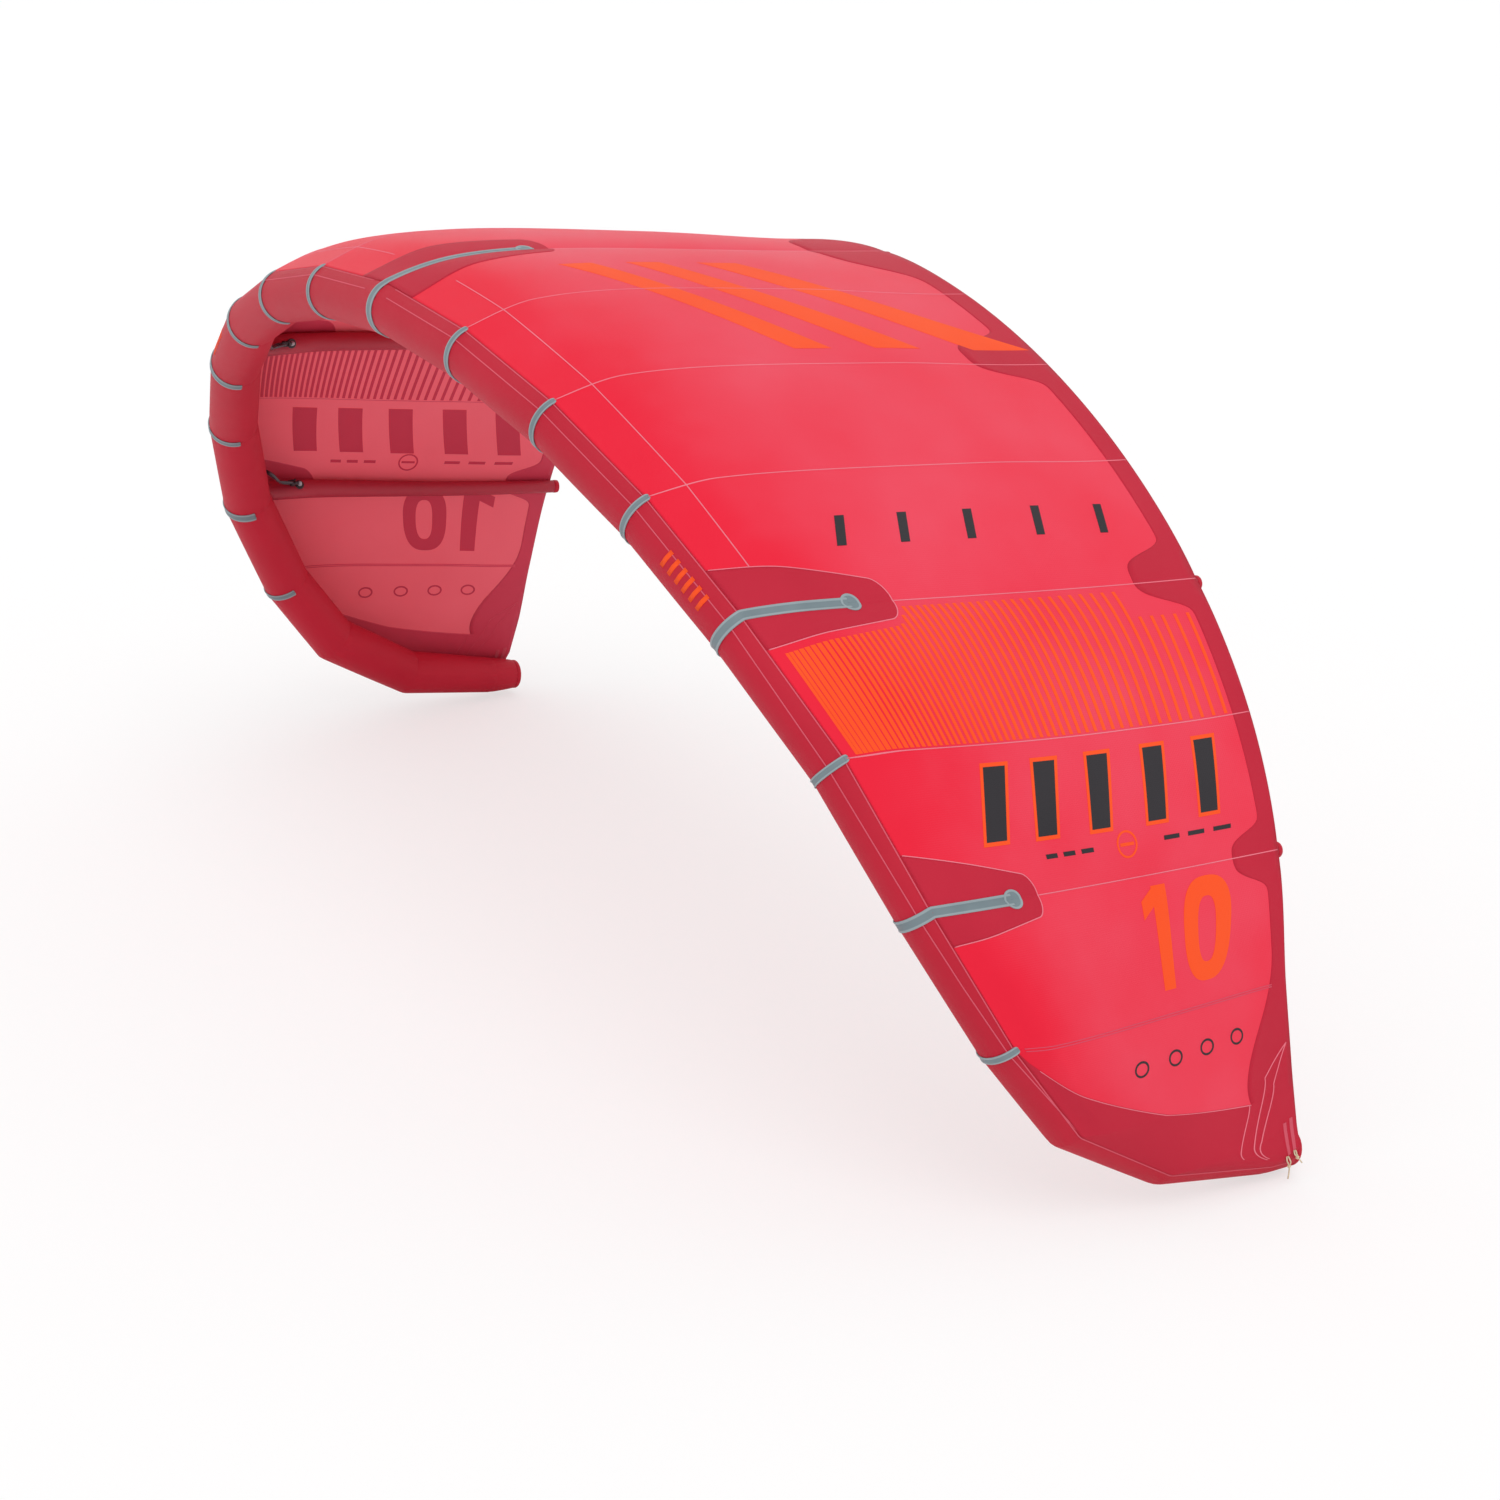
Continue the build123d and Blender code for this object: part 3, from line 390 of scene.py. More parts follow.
def solid_rings(rings):
    """Body whose skin runs through rings of points, each end shut by a fan to its middle."""
    rings = outward_rings(rings)
    rows, columns = rings.shape[:2]
    faces = grid_faces(rows, columns, wrap_columns=True).tolist()
    count = rows * columns
    edge = np.arange(columns)
    for first, centre, order in ((0, count, [0, 1, 2]), (count - columns, count + 1, [0, 2, 1])):
        fan = np.stack([np.full(columns, centre), first + edge, first + (edge + 1) % columns], axis=1)
        faces += fan[:, order].tolist()
    points = np.concatenate([rings.reshape(-1, 3), rings[[0, -1]].mean(axis=1)])
    uv = ring_uv(rings).reshape(-1, 2)
    return points, faces, np.concatenate([uv, uv[[0, -1]]]), 0


def pipe_rings(outer, inner):
    """Pipe with a wall: its skin goes along the outer rings and back along the inner ones."""
    around = np.concatenate([outer, inner[::-1]])
    if outward_rings(outer) is not outer:
        around = around[:, ::-1]
    faces = grid_faces(*around.shape[:2], wrap_rows=True, wrap_columns=True)
    return around.reshape(-1, 3), faces, ring_uv(around).reshape(-1, 2), 0


def full_turn(count):
    """Angles of so many points evenly round a circle."""
    return np.arange(count) / count * 2 * math.pi


def circle_rings(path, radius, across, around):
    """Circles square to a path (n, 3), of one radius or of one for each point. The vector across
    is never in line with the path, and the first point of each circle lies towards it."""
    ahead = unit(np.gradient(path, axis=0))
    side = unit(across - ahead * np.sum(ahead * across, axis=1, keepdims=True))
    third = np.cross(ahead, side)
    turn = full_turn(around)[:, None]
    radius = np.broadcast_to(radius, len(path))[:, None, None]
    return path[:, None] + radius * (side[:, None] * np.cos(turn) + third[:, None] * np.sin(turn))


def turned(profile, origin, axis, across, around):
    """Rings of a body turned on a lathe: a profile of (radius, height) round an axis."""
    axis = unit(np.asarray(axis, float))
    side = unit(across - axis * np.dot(axis, across))
    third = np.cross(axis, side)
    turn = full_turn(around)[:, None]
    spokes = side * np.cos(turn) + third * np.sin(turn)
    profile = np.asarray(profile, float)
    return np.asarray(origin) + profile[:, 1, None, None] * axis + profile[:, 0, None, None] * spokes


def both(make):
    """The parts made for the right side, 1, and for the left side, -1."""
    return [part for side in (1, -1) for part in make(side)]


def mirrored(points):
    """The same points on the other side of the plane X = 0."""
    return points * mirror


def on_side(points, side):
    """The points themselves for the right side, 1, and their mirror image for the left, -1."""
    return points if side > 0 else mirrored(points)


def sides_of(station):
    """The sides that have this station: both, but only one in the middle."""
    return (1, -1) if station else (1,)


def report(piece):
    """Print the number of faces of a piece."""
    print(f"{piece.name}: {len(piece.data.polygons)} faces")


print("a grid of 3 by 4 points has", len(grid_faces(3, 4)), "faces, a closed one",
      len(grid_faces(3, 4, True, True)))

# %% [markdown]
# ## Colours and finishes
# The kite has two cloths. The canopy is thin ripstop polyester, whose thicker threads make a
# grid of fine squares. Tubes, patches and bands are heavier woven polyester in a darker red.
# Each finish reads the piece's own UV map, in metres, so its threads follow the cloth. Noise on
# object coordinates adds the slow changes of tone that every large cloth has.

# %% Material helpers
def colour(red, green, blue):
    """Linear colour with alpha from display values, 0 to 255."""
    c = np.array([red, green, blue]) / 255
    linear = np.where(c <= 0.04045, c / 12.92, ((c + 0.055) / 1.055) ** 2.4)
    return (*linear.tolist(), 1.0)


def new_material(name, roughness, **sockets):
    """Material, its node tree and its shader, with constants on the shader's own sockets."""
    material = bpy.data.materials.new(name)
    material.use_nodes = True
    tree = material.node_tree
    shader = tree.nodes["Principled BSDF"]
    shader.inputs["Roughness"].default_value = roughness
    for socket, value in sockets.items():
        shader.inputs[socket.replace("_", " ")].default_value = value
    return material, tree, shader


def math_node(tree, operation, a, b=None, clamp=False):
    """Output of a Math node on two sockets or numbers."""
    node = tree.nodes.new("ShaderNodeMath")
    node.operation, node.use_clamp = operation, clamp
    for socket, value in zip(node.inputs, (a, b)):
        if isinstance(value, bpy.types.NodeSocket):
            tree.links.new(value, socket)
        elif value is not None:
            socket.default_value = value
    return node.outputs[0]


def threads(tree, coordinates, direction, period):
    """Bands across one direction of the coordinates, from 0 to 1, once in each period."""
    wave = tree.nodes.new("ShaderNodeTexWave")
    wave.bands_direction = direction
    wave.inputs["Scale"].default_value = 2 * math.pi / (20 * period)
    tree.links.new(coordinates, wave.inputs["Vector"])
    return wave.outputs["Fac"]


def tone(tree, size, detail=3.0):
    """Slow noise on object coordinates, about 0.5."""
    place = tree.nodes.new("ShaderNodeTexCoord")
    noise = tree.nodes.new("ShaderNodeTexNoise")
    noise.inputs["Scale"].default_value = 1 / size
    noise.inputs["Detail"].default_value = detail
    tree.links.new(place.outputs["Object"], noise.inputs["Vector"])
    return noise.outputs["Fac"]


def tint(tree, shader, low, high, factor):
    """Base colour between two colours."""
    mix = tree.nodes.new("ShaderNodeMix")
    mix.data_type = "RGBA"
    mix.inputs["A"].default_value, mix.inputs["B"].default_value = low, high
    tree.links.new(factor, mix.inputs["Factor"])
    tree.links.new(mix.outputs["Result"], shader.inputs["Base Color"])


def relief(tree, shader, height, distance, strength=0.6):
    """Bump from a height between 0 and 1 that stands for a distance."""
    bump = tree.nodes.new("ShaderNodeBump")
    bump.inputs["Distance"].default_value = distance
    bump.inputs["Strength"].default_value = strength
    tree.links.new(height, bump.inputs["Height"])
    tree.links.new(bump.outputs["Normal"], shader.inputs["Normal"])


WARP, WEFT = 0.0011, 0.0009  # distance from thread to thread, both ways


def cloth_finish(name, low, high, period, thickness, roughness=0.55, wrinkle=0.0, front=0.0, **sockets):
    """Woven cloth: fine threads both ways from the UV map, thicker ones at each period, a slow
    change of tone, and soft wrinkles where they are asked for. A front length darkens the tone
    towards the front seam: painted shade, where the cloth turns away from the light."""
    material, tree, shader = new_material(name, roughness, **sockets)
    uv = tree.nodes.new("ShaderNodeUVMap")
    ribs = [math_node(tree, "POWER", threads(tree, uv.outputs[0], axis, period), 6.0) for axis in "XY"]
    rib = math_node(tree, "MAXIMUM", *ribs)
    fine = math_node(tree, "MULTIPLY", threads(tree, uv.outputs[0], "X", WARP),
                     threads(tree, uv.outputs[0], "Y", WEFT))
    weave = math_node(tree, "ADD", math_node(tree, "MULTIPLY", rib, 0.6),
                      math_node(tree, "MULTIPLY", fine, 0.3))
    slow = tone(tree, 0.45)
    factor = math_node(tree, "ADD", math_node(tree, "MULTIPLY", weave, 0.3),
                       math_node(tree, "SUBTRACT", slow, 0.1), clamp=True)
    # Painted shade: the tone is darkened over the front length behind the front seam.
    if front:
        split = tree.nodes.new("ShaderNodeSeparateXYZ")
        tree.links.new(uv.outputs[0], split.inputs[0])
        share = math_node(tree, "DIVIDE", split.outputs["Y"], front)
        near = math_node(tree, "SUBTRACT", 1.0, share, clamp=True)
        painted_front_shade = math_node(tree, "MULTIPLY", near, 0.6)
        factor = math_node(tree, "SUBTRACT", factor, painted_front_shade, clamp=True)
    tint(tree, shader, low, high, factor)
    height = weave
    if wrinkle:
        folds = tone(tree, 0.05, 2.0)
        height = math_node(tree, "ADD", weave, math_node(tree, "MULTIPLY", folds, wrinkle))
    relief(tree, shader, height, thickness)
    return material


def plain_finish(name, low, high, grain, depth, roughness=0.45, **sockets):
    """Moulded or coated finish: a fine grain and a slow tone on object coordinates."""
    material, tree, shader = new_material(name, roughness, **sockets)
    tint(tree, shader, low, high, tone(tree, 0.12))
    relief(tree, shader, tone(tree, grain, 4.0), depth, 0.4)
    return material


# %% Finishes of the kite
RIPSTOP, WOVEN = 0.006, 0.003  # distance between the thicker threads of the two cloths
RED = colour(234, 24, 54), colour(236, 80, 102)
# The outside's tone is darkened over its first 0.62 m behind the front seam, as painted shade.
canopy_outside = cloth_finish("canopy_outside", *RED, RIPSTOP, 0.0004, roughness=0.6, front=0.62,
                              Specular_IOR_Level=0.2, Sheen_Weight=0.18, Sheen_Roughness=0.3)
# The inside is the same cloth in a paler colour of its own: painted light, for the light that shines through
# the thin cloth.
canopy_inside_painted_light = cloth_finish("canopy_inside_painted_light", colour(244, 100, 114), colour(252, 116, 130), RIPSTOP, 0.0004,
                             roughness=0.7, Specular_IOR_Level=0.2)
dark_outside = cloth_finish("dark_cloth_outside", colour(184, 24, 50), colour(202, 38, 62), WOVEN, 0.0005,
                            roughness=0.6, Specular_IOR_Level=0.2)
dark_inside = cloth_finish("dark_cloth_inside", colour(198, 44, 72), colour(214, 58, 86), WOVEN, 0.0005,
                           roughness=0.6)
tube_cloth = cloth_finish("tube_cloth", colour(182, 18, 44), colour(202, 30, 56), WOVEN, 0.0006,
                          wrinkle=5.0, Specular_IOR_Level=0.25)
strut_cloth = cloth_finish("strut_cloth", colour(160, 22, 46), colour(184, 34, 60), WOVEN, 0.0006,
                           roughness=0.45, wrinkle=5.0)
orange_print = cloth_finish("orange_print", colour(246, 72, 20), colour(252, 90, 34), RIPSTOP, 0.0003,
                            roughness=0.6, Specular_IOR_Level=0.2)
charcoal_print = cloth_finish("charcoal_print", colour(38, 36, 40), colour(54, 50, 54), RIPSTOP, 0.0003,
                              roughness=0.6, Specular_IOR_Level=0.2)
print_inside = cloth_finish("print_seen_inside", colour(190, 34, 64), colour(206, 46, 76), RIPSTOP, 0.0003,
                            roughness=0.6)
pale_thread = cloth_finish("pale_thread", colour(226, 100, 120), colour(240, 134, 150), WOVEN, 0.0005,
                           roughness=0.7)
tube_thread = cloth_finish("tube_thread", colour(208, 74, 96), colour(224, 98, 116), WOVEN, 0.0005,
                           roughness=0.7)
seam_tape = cloth_finish("seam_tape", colour(212, 50, 80), colour(226, 68, 96), WOVEN, 0.0004)
webbing_cloth = cloth_finish("webbing", colour(196, 60, 82), colour(226, 96, 114), 0.002, 0.0009, roughness=0.8)
beige_cord = cloth_finish("line_braid", colour(206, 186, 150), colour(236, 222, 192), 0.0016, 0.0006,
                          roughness=0.8)

grey_rubber = plain_finish("grey_strip_rubber", colour(96, 112, 118), colour(126, 142, 148), 0.004, 0.0004,
                           roughness=0.5)
rim_rubber = plain_finish("strip_rim_rubber", colour(128, 144, 150), colour(156, 170, 174), 0.004, 0.0004)
black_plastic = plain_finish("black_plastic", colour(30, 30, 33), colour(46, 46, 50), 0.0012, 0.0001,
                             roughness=0.38)
grey_plastic = plain_finish("grey_plastic", colour(150, 152, 156), colour(178, 180, 184), 0.0012, 0.0001,
                            roughness=0.4)
hose_rubber = plain_finish("hose_rubber", colour(40, 38, 44), colour(58, 56, 62), 0.002, 0.0001,
                           roughness=0.3, Coat_Weight=0.3)
film = plain_finish("bladder_film", colour(214, 196, 190), colour(232, 218, 212), 0.01, 0.0002,
                    roughness=0.25)
loop_webbing = plain_finish("loop_webbing", colour(52, 50, 54), colour(74, 72, 76), 0.0015, 0.0003,
                            roughness=0.8)
print(len(bpy.data.materials), "finishes")

# %% [markdown]
# ## The canopy
# A kite's canopy is many cut panels, but in flight it is one taut skin. So it is one grid over
# the whole span, closed into a sheet with an outside and an inside, and the panels show as seams
# sewn on it. Columns crowd together at the stations, where the creases are.

# %% Canopy sheet
CLOTH_HALF = 0.0006  # drawn a little thicker than the cloth, so that the layers keep apart
COLUMNS, ROWS = 13, 96  # between two stations, and from the front to the trailing edge


def chord_uv(u, v):
    """Metres along the span and along the chord, for the cloth's threads."""
    a = np.abs(u)
    return np.stack([np.interp(a, np.arange(last + 1), station_span) * np.where(u < 0, -1, 1),
                     v * np.interp(a, np.arange(last + 1), edge_reach)], axis=-1)


def on_cloth(u, v, low, high, wrap=False):
    """Shell that follows the canopy between two heights over its middle."""
    return shell(canopy(u, v, high), canopy(u, v, low), chord_uv(u, v), wrap)


crowded = (1 - np.cos(np.arange(COLUMNS) / COLUMNS * math.pi)) / 2
half = np.append((np.arange(last)[:, None] + crowded).ravel(), last)
u, v = np.meshgrid(np.concatenate([-half[:0:-1], half]), np.linspace(0, 1, ROWS + 1) ** 1.15, indexing="ij")
sheet = build("canopy", [on_cloth(u, v, -CLOTH_HALF, CLOTH_HALF)], [canopy_outside, canopy_inside_painted_light],
              [f"canopy_panel_{panel}" for panel in range(1, 8)])
report(sheet)

# %% [markdown]
# ## Reinforced cloth
# Darker, heavier cloth takes the loads: a band along the trailing edge that reaches forward at
# every second seam, both wing tips, and a patch over the front of each strut. Each is a shell
# that wraps the canopy on both sides, so it shows inside the kite as well.

# %% Trailing edge band, wing tips and strut patches
BAND, TIP, PATCH = 0.0011, 0.0013, 0.0015  # half thickness of each doubled layer
TIP_START, TIP_CORNER = 7.0, 8.365  # stations of the tip cloth's inner edge, in front and behind
TIP_MEETS_BAND = 0.82  # v at which it meets the band
BAND_STEPS = ((1.9, 0.08, 0.24), (3.96, 0.074, 0.2), (6, 0.062, 0.18))  # station, depth, width
ROUNDING = 0.1  # share of a patch's length that its round end takes
PATCH_LENGTHS = {0: 0.540, 4: 0.440, 6: 0.325}
patch_ends = {station: place_at(station, length) for station, length in PATCH_LENGTHS.items()}


def band_front(u):
    """Front edge of the band: even, with a forward step at every second station, and turned
    towards the front near the wing tip."""
    a = np.abs(u)
    edge = 0.971 - 0.075 * np.exp(-(a / 0.55) ** 4)
    for station, depth, width in BAND_STEPS:
        edge = edge - depth * np.exp(-((a - station) / width) ** 4)
    return edge - 0.15 * smooth_step((a - 6.7) / 1.7)


def tip_edge(v):
    """Inner edge of the wing tip cloth, a curve from the leading edge to the band."""
    return TIP_START + (TIP_CORNER - TIP_START) * np.clip(v / TIP_MEETS_BAND, 0, 1) ** 0.55


def patch_sides(station, v):
    """Half widths of a strut patch in stations, towards the middle and towards the tip, with
    a rounded end."""
    share = v / patch_ends[abs(station)]
    round_end = np.sqrt(1 - np.clip((share - (1 - ROUNDING)) / ROUNDING, 0, 1) ** 2)
    return (0.37 - 0.24 * share) * round_end, (0.25 - 0.12 * share) * round_end


def patch_rows(start, turn, count):
    """Shares of a patch's length from its front, close together round its end."""
    bend = np.sin(np.linspace(turn, math.pi / 2, count))
    return np.concatenate([np.linspace(start, 1 - ROUNDING, 30), 1 - ROUNDING + ROUNDING * bend])


def band_part(side):
    """The band on one half of the kite."""
    a = np.linspace(0, TIP_CORNER + 0.1, 420)[:, None]
    front = band_front(a)
    share = np.linspace(0, 1, 9)
    return [on_cloth(side * (a + 0 * share), front + (1 - front) * share, -BAND, BAND)]


def tip_part(side):
    """The dark cloth of one wing tip."""
    v = np.linspace(0, 1, 80)[:, None]
    edge = tip_edge(v)
    stops = [edge, np.maximum(8, edge + 0.06), 9 + 0 * edge, 10 + 0 * edge, last + 0 * edge]
    share = (1 - np.cos(np.arange(12) / 12 * math.pi)) / 2
    columns = [near + (far - near) * share for near, far in zip(stops, stops[1:])]
    a = np.concatenate(columns + [stops[-1]], axis=1)
    return [on_cloth(side * a, v + 0 * a, -TIP, TIP)]


def patch_part(station):
    """The patch over the strut of a station, negative on the left half."""
    v = patch_ends[abs(station)] * patch_rows(0, 0.15, 12)[:, None]
    inner, outer = patch_sides(station, v)
    if station == 0:
        inner = outer = outer * 1.4
    share = np.linspace(-1, 1, 25)
    reach = np.where(share < 0, inner, outer) * share
    return [on_cloth(station + reach * (np.sign(station) or 1), v + 0 * share, -PATCH, PATCH)]


dark_cloth = [dark_outside, dark_inside]
patches = [part for station in (0, 4, -4, 6, -6) for part in patch_part(station)]
report(build("trailing_edge_band_cloth", both(band_part), dark_cloth,
             ["trailing_edge_band"]))
report(build("wing_tip_cloth", both(tip_part), dark_cloth, ["wing_tip_panels"]))
report(build("strut_patch_cloth", patches, dark_cloth, ["strut_patches"]))

# %% [markdown]
# ## Seams
# Panels meet in lapped seams, sewn with a pale thread. A seam is a narrow shell along a line on
# the cloth. Its width is given in metres and turned into the cloth's own two numbers with the
# length of cloth that each number stands for.

# %% Seams across and along the canopy
THREAD = 0.003  # width of a sewn line
SEAM, FRONT_SEAM, TIP_SEAM, PATCH_SEAM, DOUBLE_SEAM = 0.0016, 0.0014, 0.0017, 0.0019, 0.0015  # half heights
TIP_STITCH = 0.002
SEAM_END = 0.999  # v just short of the trailing edge


def line_shell(u, v, width, height):
    """Shell of even width along a line (n,) on the cloth, of one height on both of its sides."""
    du, dv = spacing(u, v)
    along_line = np.stack([np.gradient(u) * du, np.gradient(v) * dv], axis=-1)
    along_line = unit(along_line)
    share = np.array([-0.5, -0.25, 0.25, 0.5]) * width
    across_u = u[:, None] - along_line[:, 1:2] / du[:, None] * share
    across_v = v[:, None] + along_line[:, 0:1] / dv[:, None] * share
    return on_cloth(across_u, np.clip(across_v, 0, 1), -height, height)


def chord_line(u, start, end, width=THREAD, height=SEAM):
    """Line from front to back at one place along the span."""
    v = np.linspace(start, end, 90)
    return line_shell(np.full(len(v), float(u)), v, width, height)


def half_lines(side):
    """The seams of one half that are sewn with pale thread."""
    lines = [chord_line(side * station, 0.004, SEAM_END) for station in (1, 2, 3, 5)]
    lines += [chord_line(side * station, patch_ends[station], SEAM_END) for station in (4, 6)]
    a = np.linspace(0.42, 3.72, 120)
    lines.append(line_shell(side * a, np.full(len(a), 0.076), THREAD, FRONT_SEAM))
    v = np.linspace(0.03, TIP_MEETS_BAND, 90)
    lines.append(line_shell(side * (tip_edge(v) + 0.012), v, THREAD, TIP_SEAM))
    for station in (4, 6):
        v = patch_ends[station] * patch_rows(0.01, 0.1, 16)
        inner, outer = patch_sides(station, v)
        edge_u = np.concatenate([station - inner, station + outer[-2::-1]])
        edge_v = np.concatenate([v, v[-2::-1]])
        lines.append(line_shell(side * edge_u, edge_v, THREAD, PATCH_SEAM))
    return lines


def tip_lines(side):
    """Double rows of stitches that run up from the wing tip's corner, and along its cloth. Each
    row climbs to a knee and then falls away towards the front."""
    start, end, foot = 7.7, 9.75, 0.988
    lines = []
    for back_v, low_v, knee in ((0.905, 0.46, 8.05), (0.93, 0.5, 8.2)):
        a = np.concatenate([np.linspace(start, knee, 16), np.linspace(knee, end, 50)[1:]])
        rise = foot - (foot - back_v) * np.clip((a - start) / (knee - start), 0, 1)
        v = rise - (back_v - low_v) * np.clip((a - knee) / (end - knee), 0, 1) ** 1.6
        lines.append(line_shell(side * a, v, THREAD, TIP_STITCH))
    stop, high, low = 9.36, 0.813, 0.467
    a = np.linspace(TIP_CORNER, stop, 40)
    v = high - (high - low) * ((a - TIP_CORNER) / (stop - TIP_CORNER)) ** 1.4
    lines.append(line_shell(side * a, v, 0.0025, TIP_STITCH))
    return lines


def seam_seven(side):
    """The wider double seam before the wing tip."""
    return [chord_line(side * (7 + shift), 0.03, 0.965, 0.0035, DOUBLE_SEAM) for shift in (-0.008, 0.012)]


centre_seam = chord_line(0, patch_ends[0], SEAM_END)
report(build("seam_threads", both(half_lines) + [centre_seam], [pale_thread, seam_tape]))
report(build("tip_threads", both(tip_lines), [pale_thread, dark_inside]))
report(build("outer_seam_tape", both(seam_seven), [seam_tape, seam_tape]))

# %% [markdown]
# ## Print on the cloth
# Plain marks are printed on the canopy: broad bars over the middle, a row of small bars, slanted
# bars with a bright edge, pinstripes, and the size of the kite, 10 square metres. A mark is
# drawn in a flat frame of metres, x in the reading direction and y towards the middle of the
# kite, and the frame is laid on the cloth at a point.

# %% Marks in a flat frame on the cloth
PRINT = 0.00125  # half thickness of a mark


def laid(u0, v0, x, y, lean=0.0):
    """Cloth coordinates of flat points round (u0, v0). A point moves along the cloth's two
    directions by the amounts that add up to x and y, where a slant moves x by y times lean."""
    across = (canopy(u0 + STEP, v0) - canopy(u0 - STEP, v0)) / (2 * STEP)
    behind = (canopy(u0, v0 + STEP) - canopy(u0, v0 - STEP)) / (2 * STEP)
    reading = unit(behind) * (-1.0 if u0 < 0 else 1.0)
    normal = unit(np.cross(across, behind))
    upright = unit(np.cross(normal, reading))
    plan = np.linalg.pinv(np.stack([across, behind], axis=1)) @ np.stack([reading, upright], axis=1)
    x = x + y * lean
    return u0 + plan[0, 0] * x + plan[0, 1] * y, v0 + plan[1, 0] * x + plan[1, 1] * y


def bar_mark(place, x, width, height, lean=0.0, thickness=PRINT, steps=9):
    """Rectangle centred at (x, 0) in the frame, slanted by lean."""
    share = np.linspace(-0.5, 0.5, steps)
    gx, gy = np.meshgrid(share * width + x, share * height, indexing="ij")
    return on_cloth(*laid(*place, gx, gy, lean), -thickness, thickness)


def ring_mark(place, x, width, height, stroke, lean=0.0, roundness=2.0):
    """Closed ring between two superellipses, centred at (x, 0) in the frame."""
    c, s = np.cos(full_turn(72))[:, None], np.sin(full_turn(72))[:, None]
    inset = np.array([0, 0.5, 1]) * stroke
    gx = x + np.sign(c) * np.abs(c) ** (2 / roundness) * (width / 2 - inset)
    gy = np.sign(s) * np.abs(s) ** (2 / roundness) * (height / 2 - inset)
    return on_cloth(*laid(*place, gx, gy, lean), -PRINT, PRINT, wrap=True)


def number_ten(place, height, lean):
    """The digits 1 and 0, of one height, drawn with one stroke width."""
    stroke = height * 0.19
    one = bar_mark(place, -0.36 * height, stroke, height, lean)
    aside, rise = np.meshgrid(np.linspace(0, 1, 9), np.linspace(0, 1, 7), indexing="ij")
    gx = (-0.62 + 0.2 * aside) * height
    gy = (0.20 + 0.13 * aside + 0.17 * rise) * height
    flag = on_cloth(*laid(*place, gx, gy, lean), -PRINT * 1.1, PRINT * 1.1)
    zero = ring_mark(place, 0.24 * height, 0.62 * height, height, stroke, lean, 2.6)
    return [one, flag, zero]


print("marks lie", PRINT * 1000, "mm off the middle of the cloth")

# %% The kite's own marks
BAR_PLACES = (0.33, 0.49, 0.645, 0.785, 0.90)  # v of the bars in a row
SMALL_BARS, LARGE_BARS, RINGS = 3.49, 5.385, 7.41  # stations of the rows
SIGN = (5.765, 0.665)  # station and v of the ringed dash
NUMBER = (6.44, 0.765)  # station and v of the number
STRIPES = 52
FIRST_STRIPE, STRIPE_SPREAD, STRIPE_POWER = 0.03, 0.93, 1.2


def stripes(side):
    """Pinstripes between the fourth and fifth stations, broad and close in front, fine behind."""
    marks = []
    places = FIRST_STRIPE + STRIPE_SPREAD * (np.arange(STRIPES) / (STRIPES - 1)) ** STRIPE_POWER
    for place, gap in zip(places, np.gradient(places)):
        width = edge_reach[4] * gap * (0.34 + 0.3 * math.exp(-((place - FIRST_STRIPE) / 0.13) ** 2))
        patch = float(patch_sides(4, np.array(min(place, patch_ends[4])))[1])
        start = 4.05 + (patch if place < patch_ends[4] + 0.01 else 0) + (0.2 if place > 0.87 else 0)
        a = np.linspace(start, 4.985, 20)
        bow = 0.03 * np.sin((a - 4) * math.pi) * (1 if place < 0.9 else 0)
        marks.append(line_shell(side * a, place + bow * place * (1 - place), width, PRINT))
    return marks


def orange_marks(side):
    """Orange marks of one half: the number 10, a ringed dash, and bars a little larger than the
    large charcoal ones, which they border."""
    sign = (side * SIGN[0], SIGN[1])
    edges = [bar_mark((side * LARGE_BARS, v - 0.01), 0, 0.09, 0.222, 0.25) for v in BAR_PLACES]
    return (number_ten((side * NUMBER[0], NUMBER[1]), 0.285, 0.12)
            + [bar_mark(sign, 0, 0.05, 0.009), ring_mark(sign, 0, 0.075, 0.075, 0.006)] + edges)


def charcoal_marks(side):
    """Charcoal marks of one half: small bars, large slanted bars, a fine row and small rings."""
    sign = (side * SIGN[0], SIGN[1])
    small = [bar_mark((side * SMALL_BARS, v), 0, 0.03, 0.105, 0.35) for v in BAR_PLACES]
    large = [bar_mark((side * LARGE_BARS, v - 0.01), 0, 0.07, 0.2, 0.25, PRINT * 1.15) for v in BAR_PLACES]
    fine = [bar_mark(sign, 0.078 * index, 0.05, 0.012) for index in (-4, -3, -2, 2, 3, 4)]
    return small + large + fine + [ring_mark((side * RINGS, v), 0, 0.055, 0.045, 0.006)
                                   for v in (0.44, 0.60, 0.73, 0.84)]


broad_bars = [bar_mark((1.17, 0.64), x, 0.13, 0.66, -0.75, steps=33) for x in (-0.27, 0.0, 0.27)]
orange_parts = both(orange_marks) + both(stripes) + broad_bars
report(build("orange_marks", orange_parts, [orange_print, print_inside], smooth=False))
report(build("charcoal_marks", both(charcoal_marks), [charcoal_print, print_inside],
             smooth=False))

# %% [markdown]
# ## The leading edge
# The tube is sewn from straight segments, which gives the inflated kite its faceted arch. The
# surface between two seam rings is ruled, and close to a seam the cloth is drawn in a little and
# ripples, as it does where thread gathers it. Each segment is a pipe with a thin wall.

# %% Leading edge segments
WALL = 0.0015
PUCKER, PUCKER_REACH = 0.0011, 0.008  # how deep and how far a seam draws the cloth in
RIPPLE, RIPPLE_REACH = 0.0009, 0.03  # the same for the ripples beside it
BELLY = 0.0006
ALMOST = 0.99999  # keeps the end of a segment from being read as the start of the next


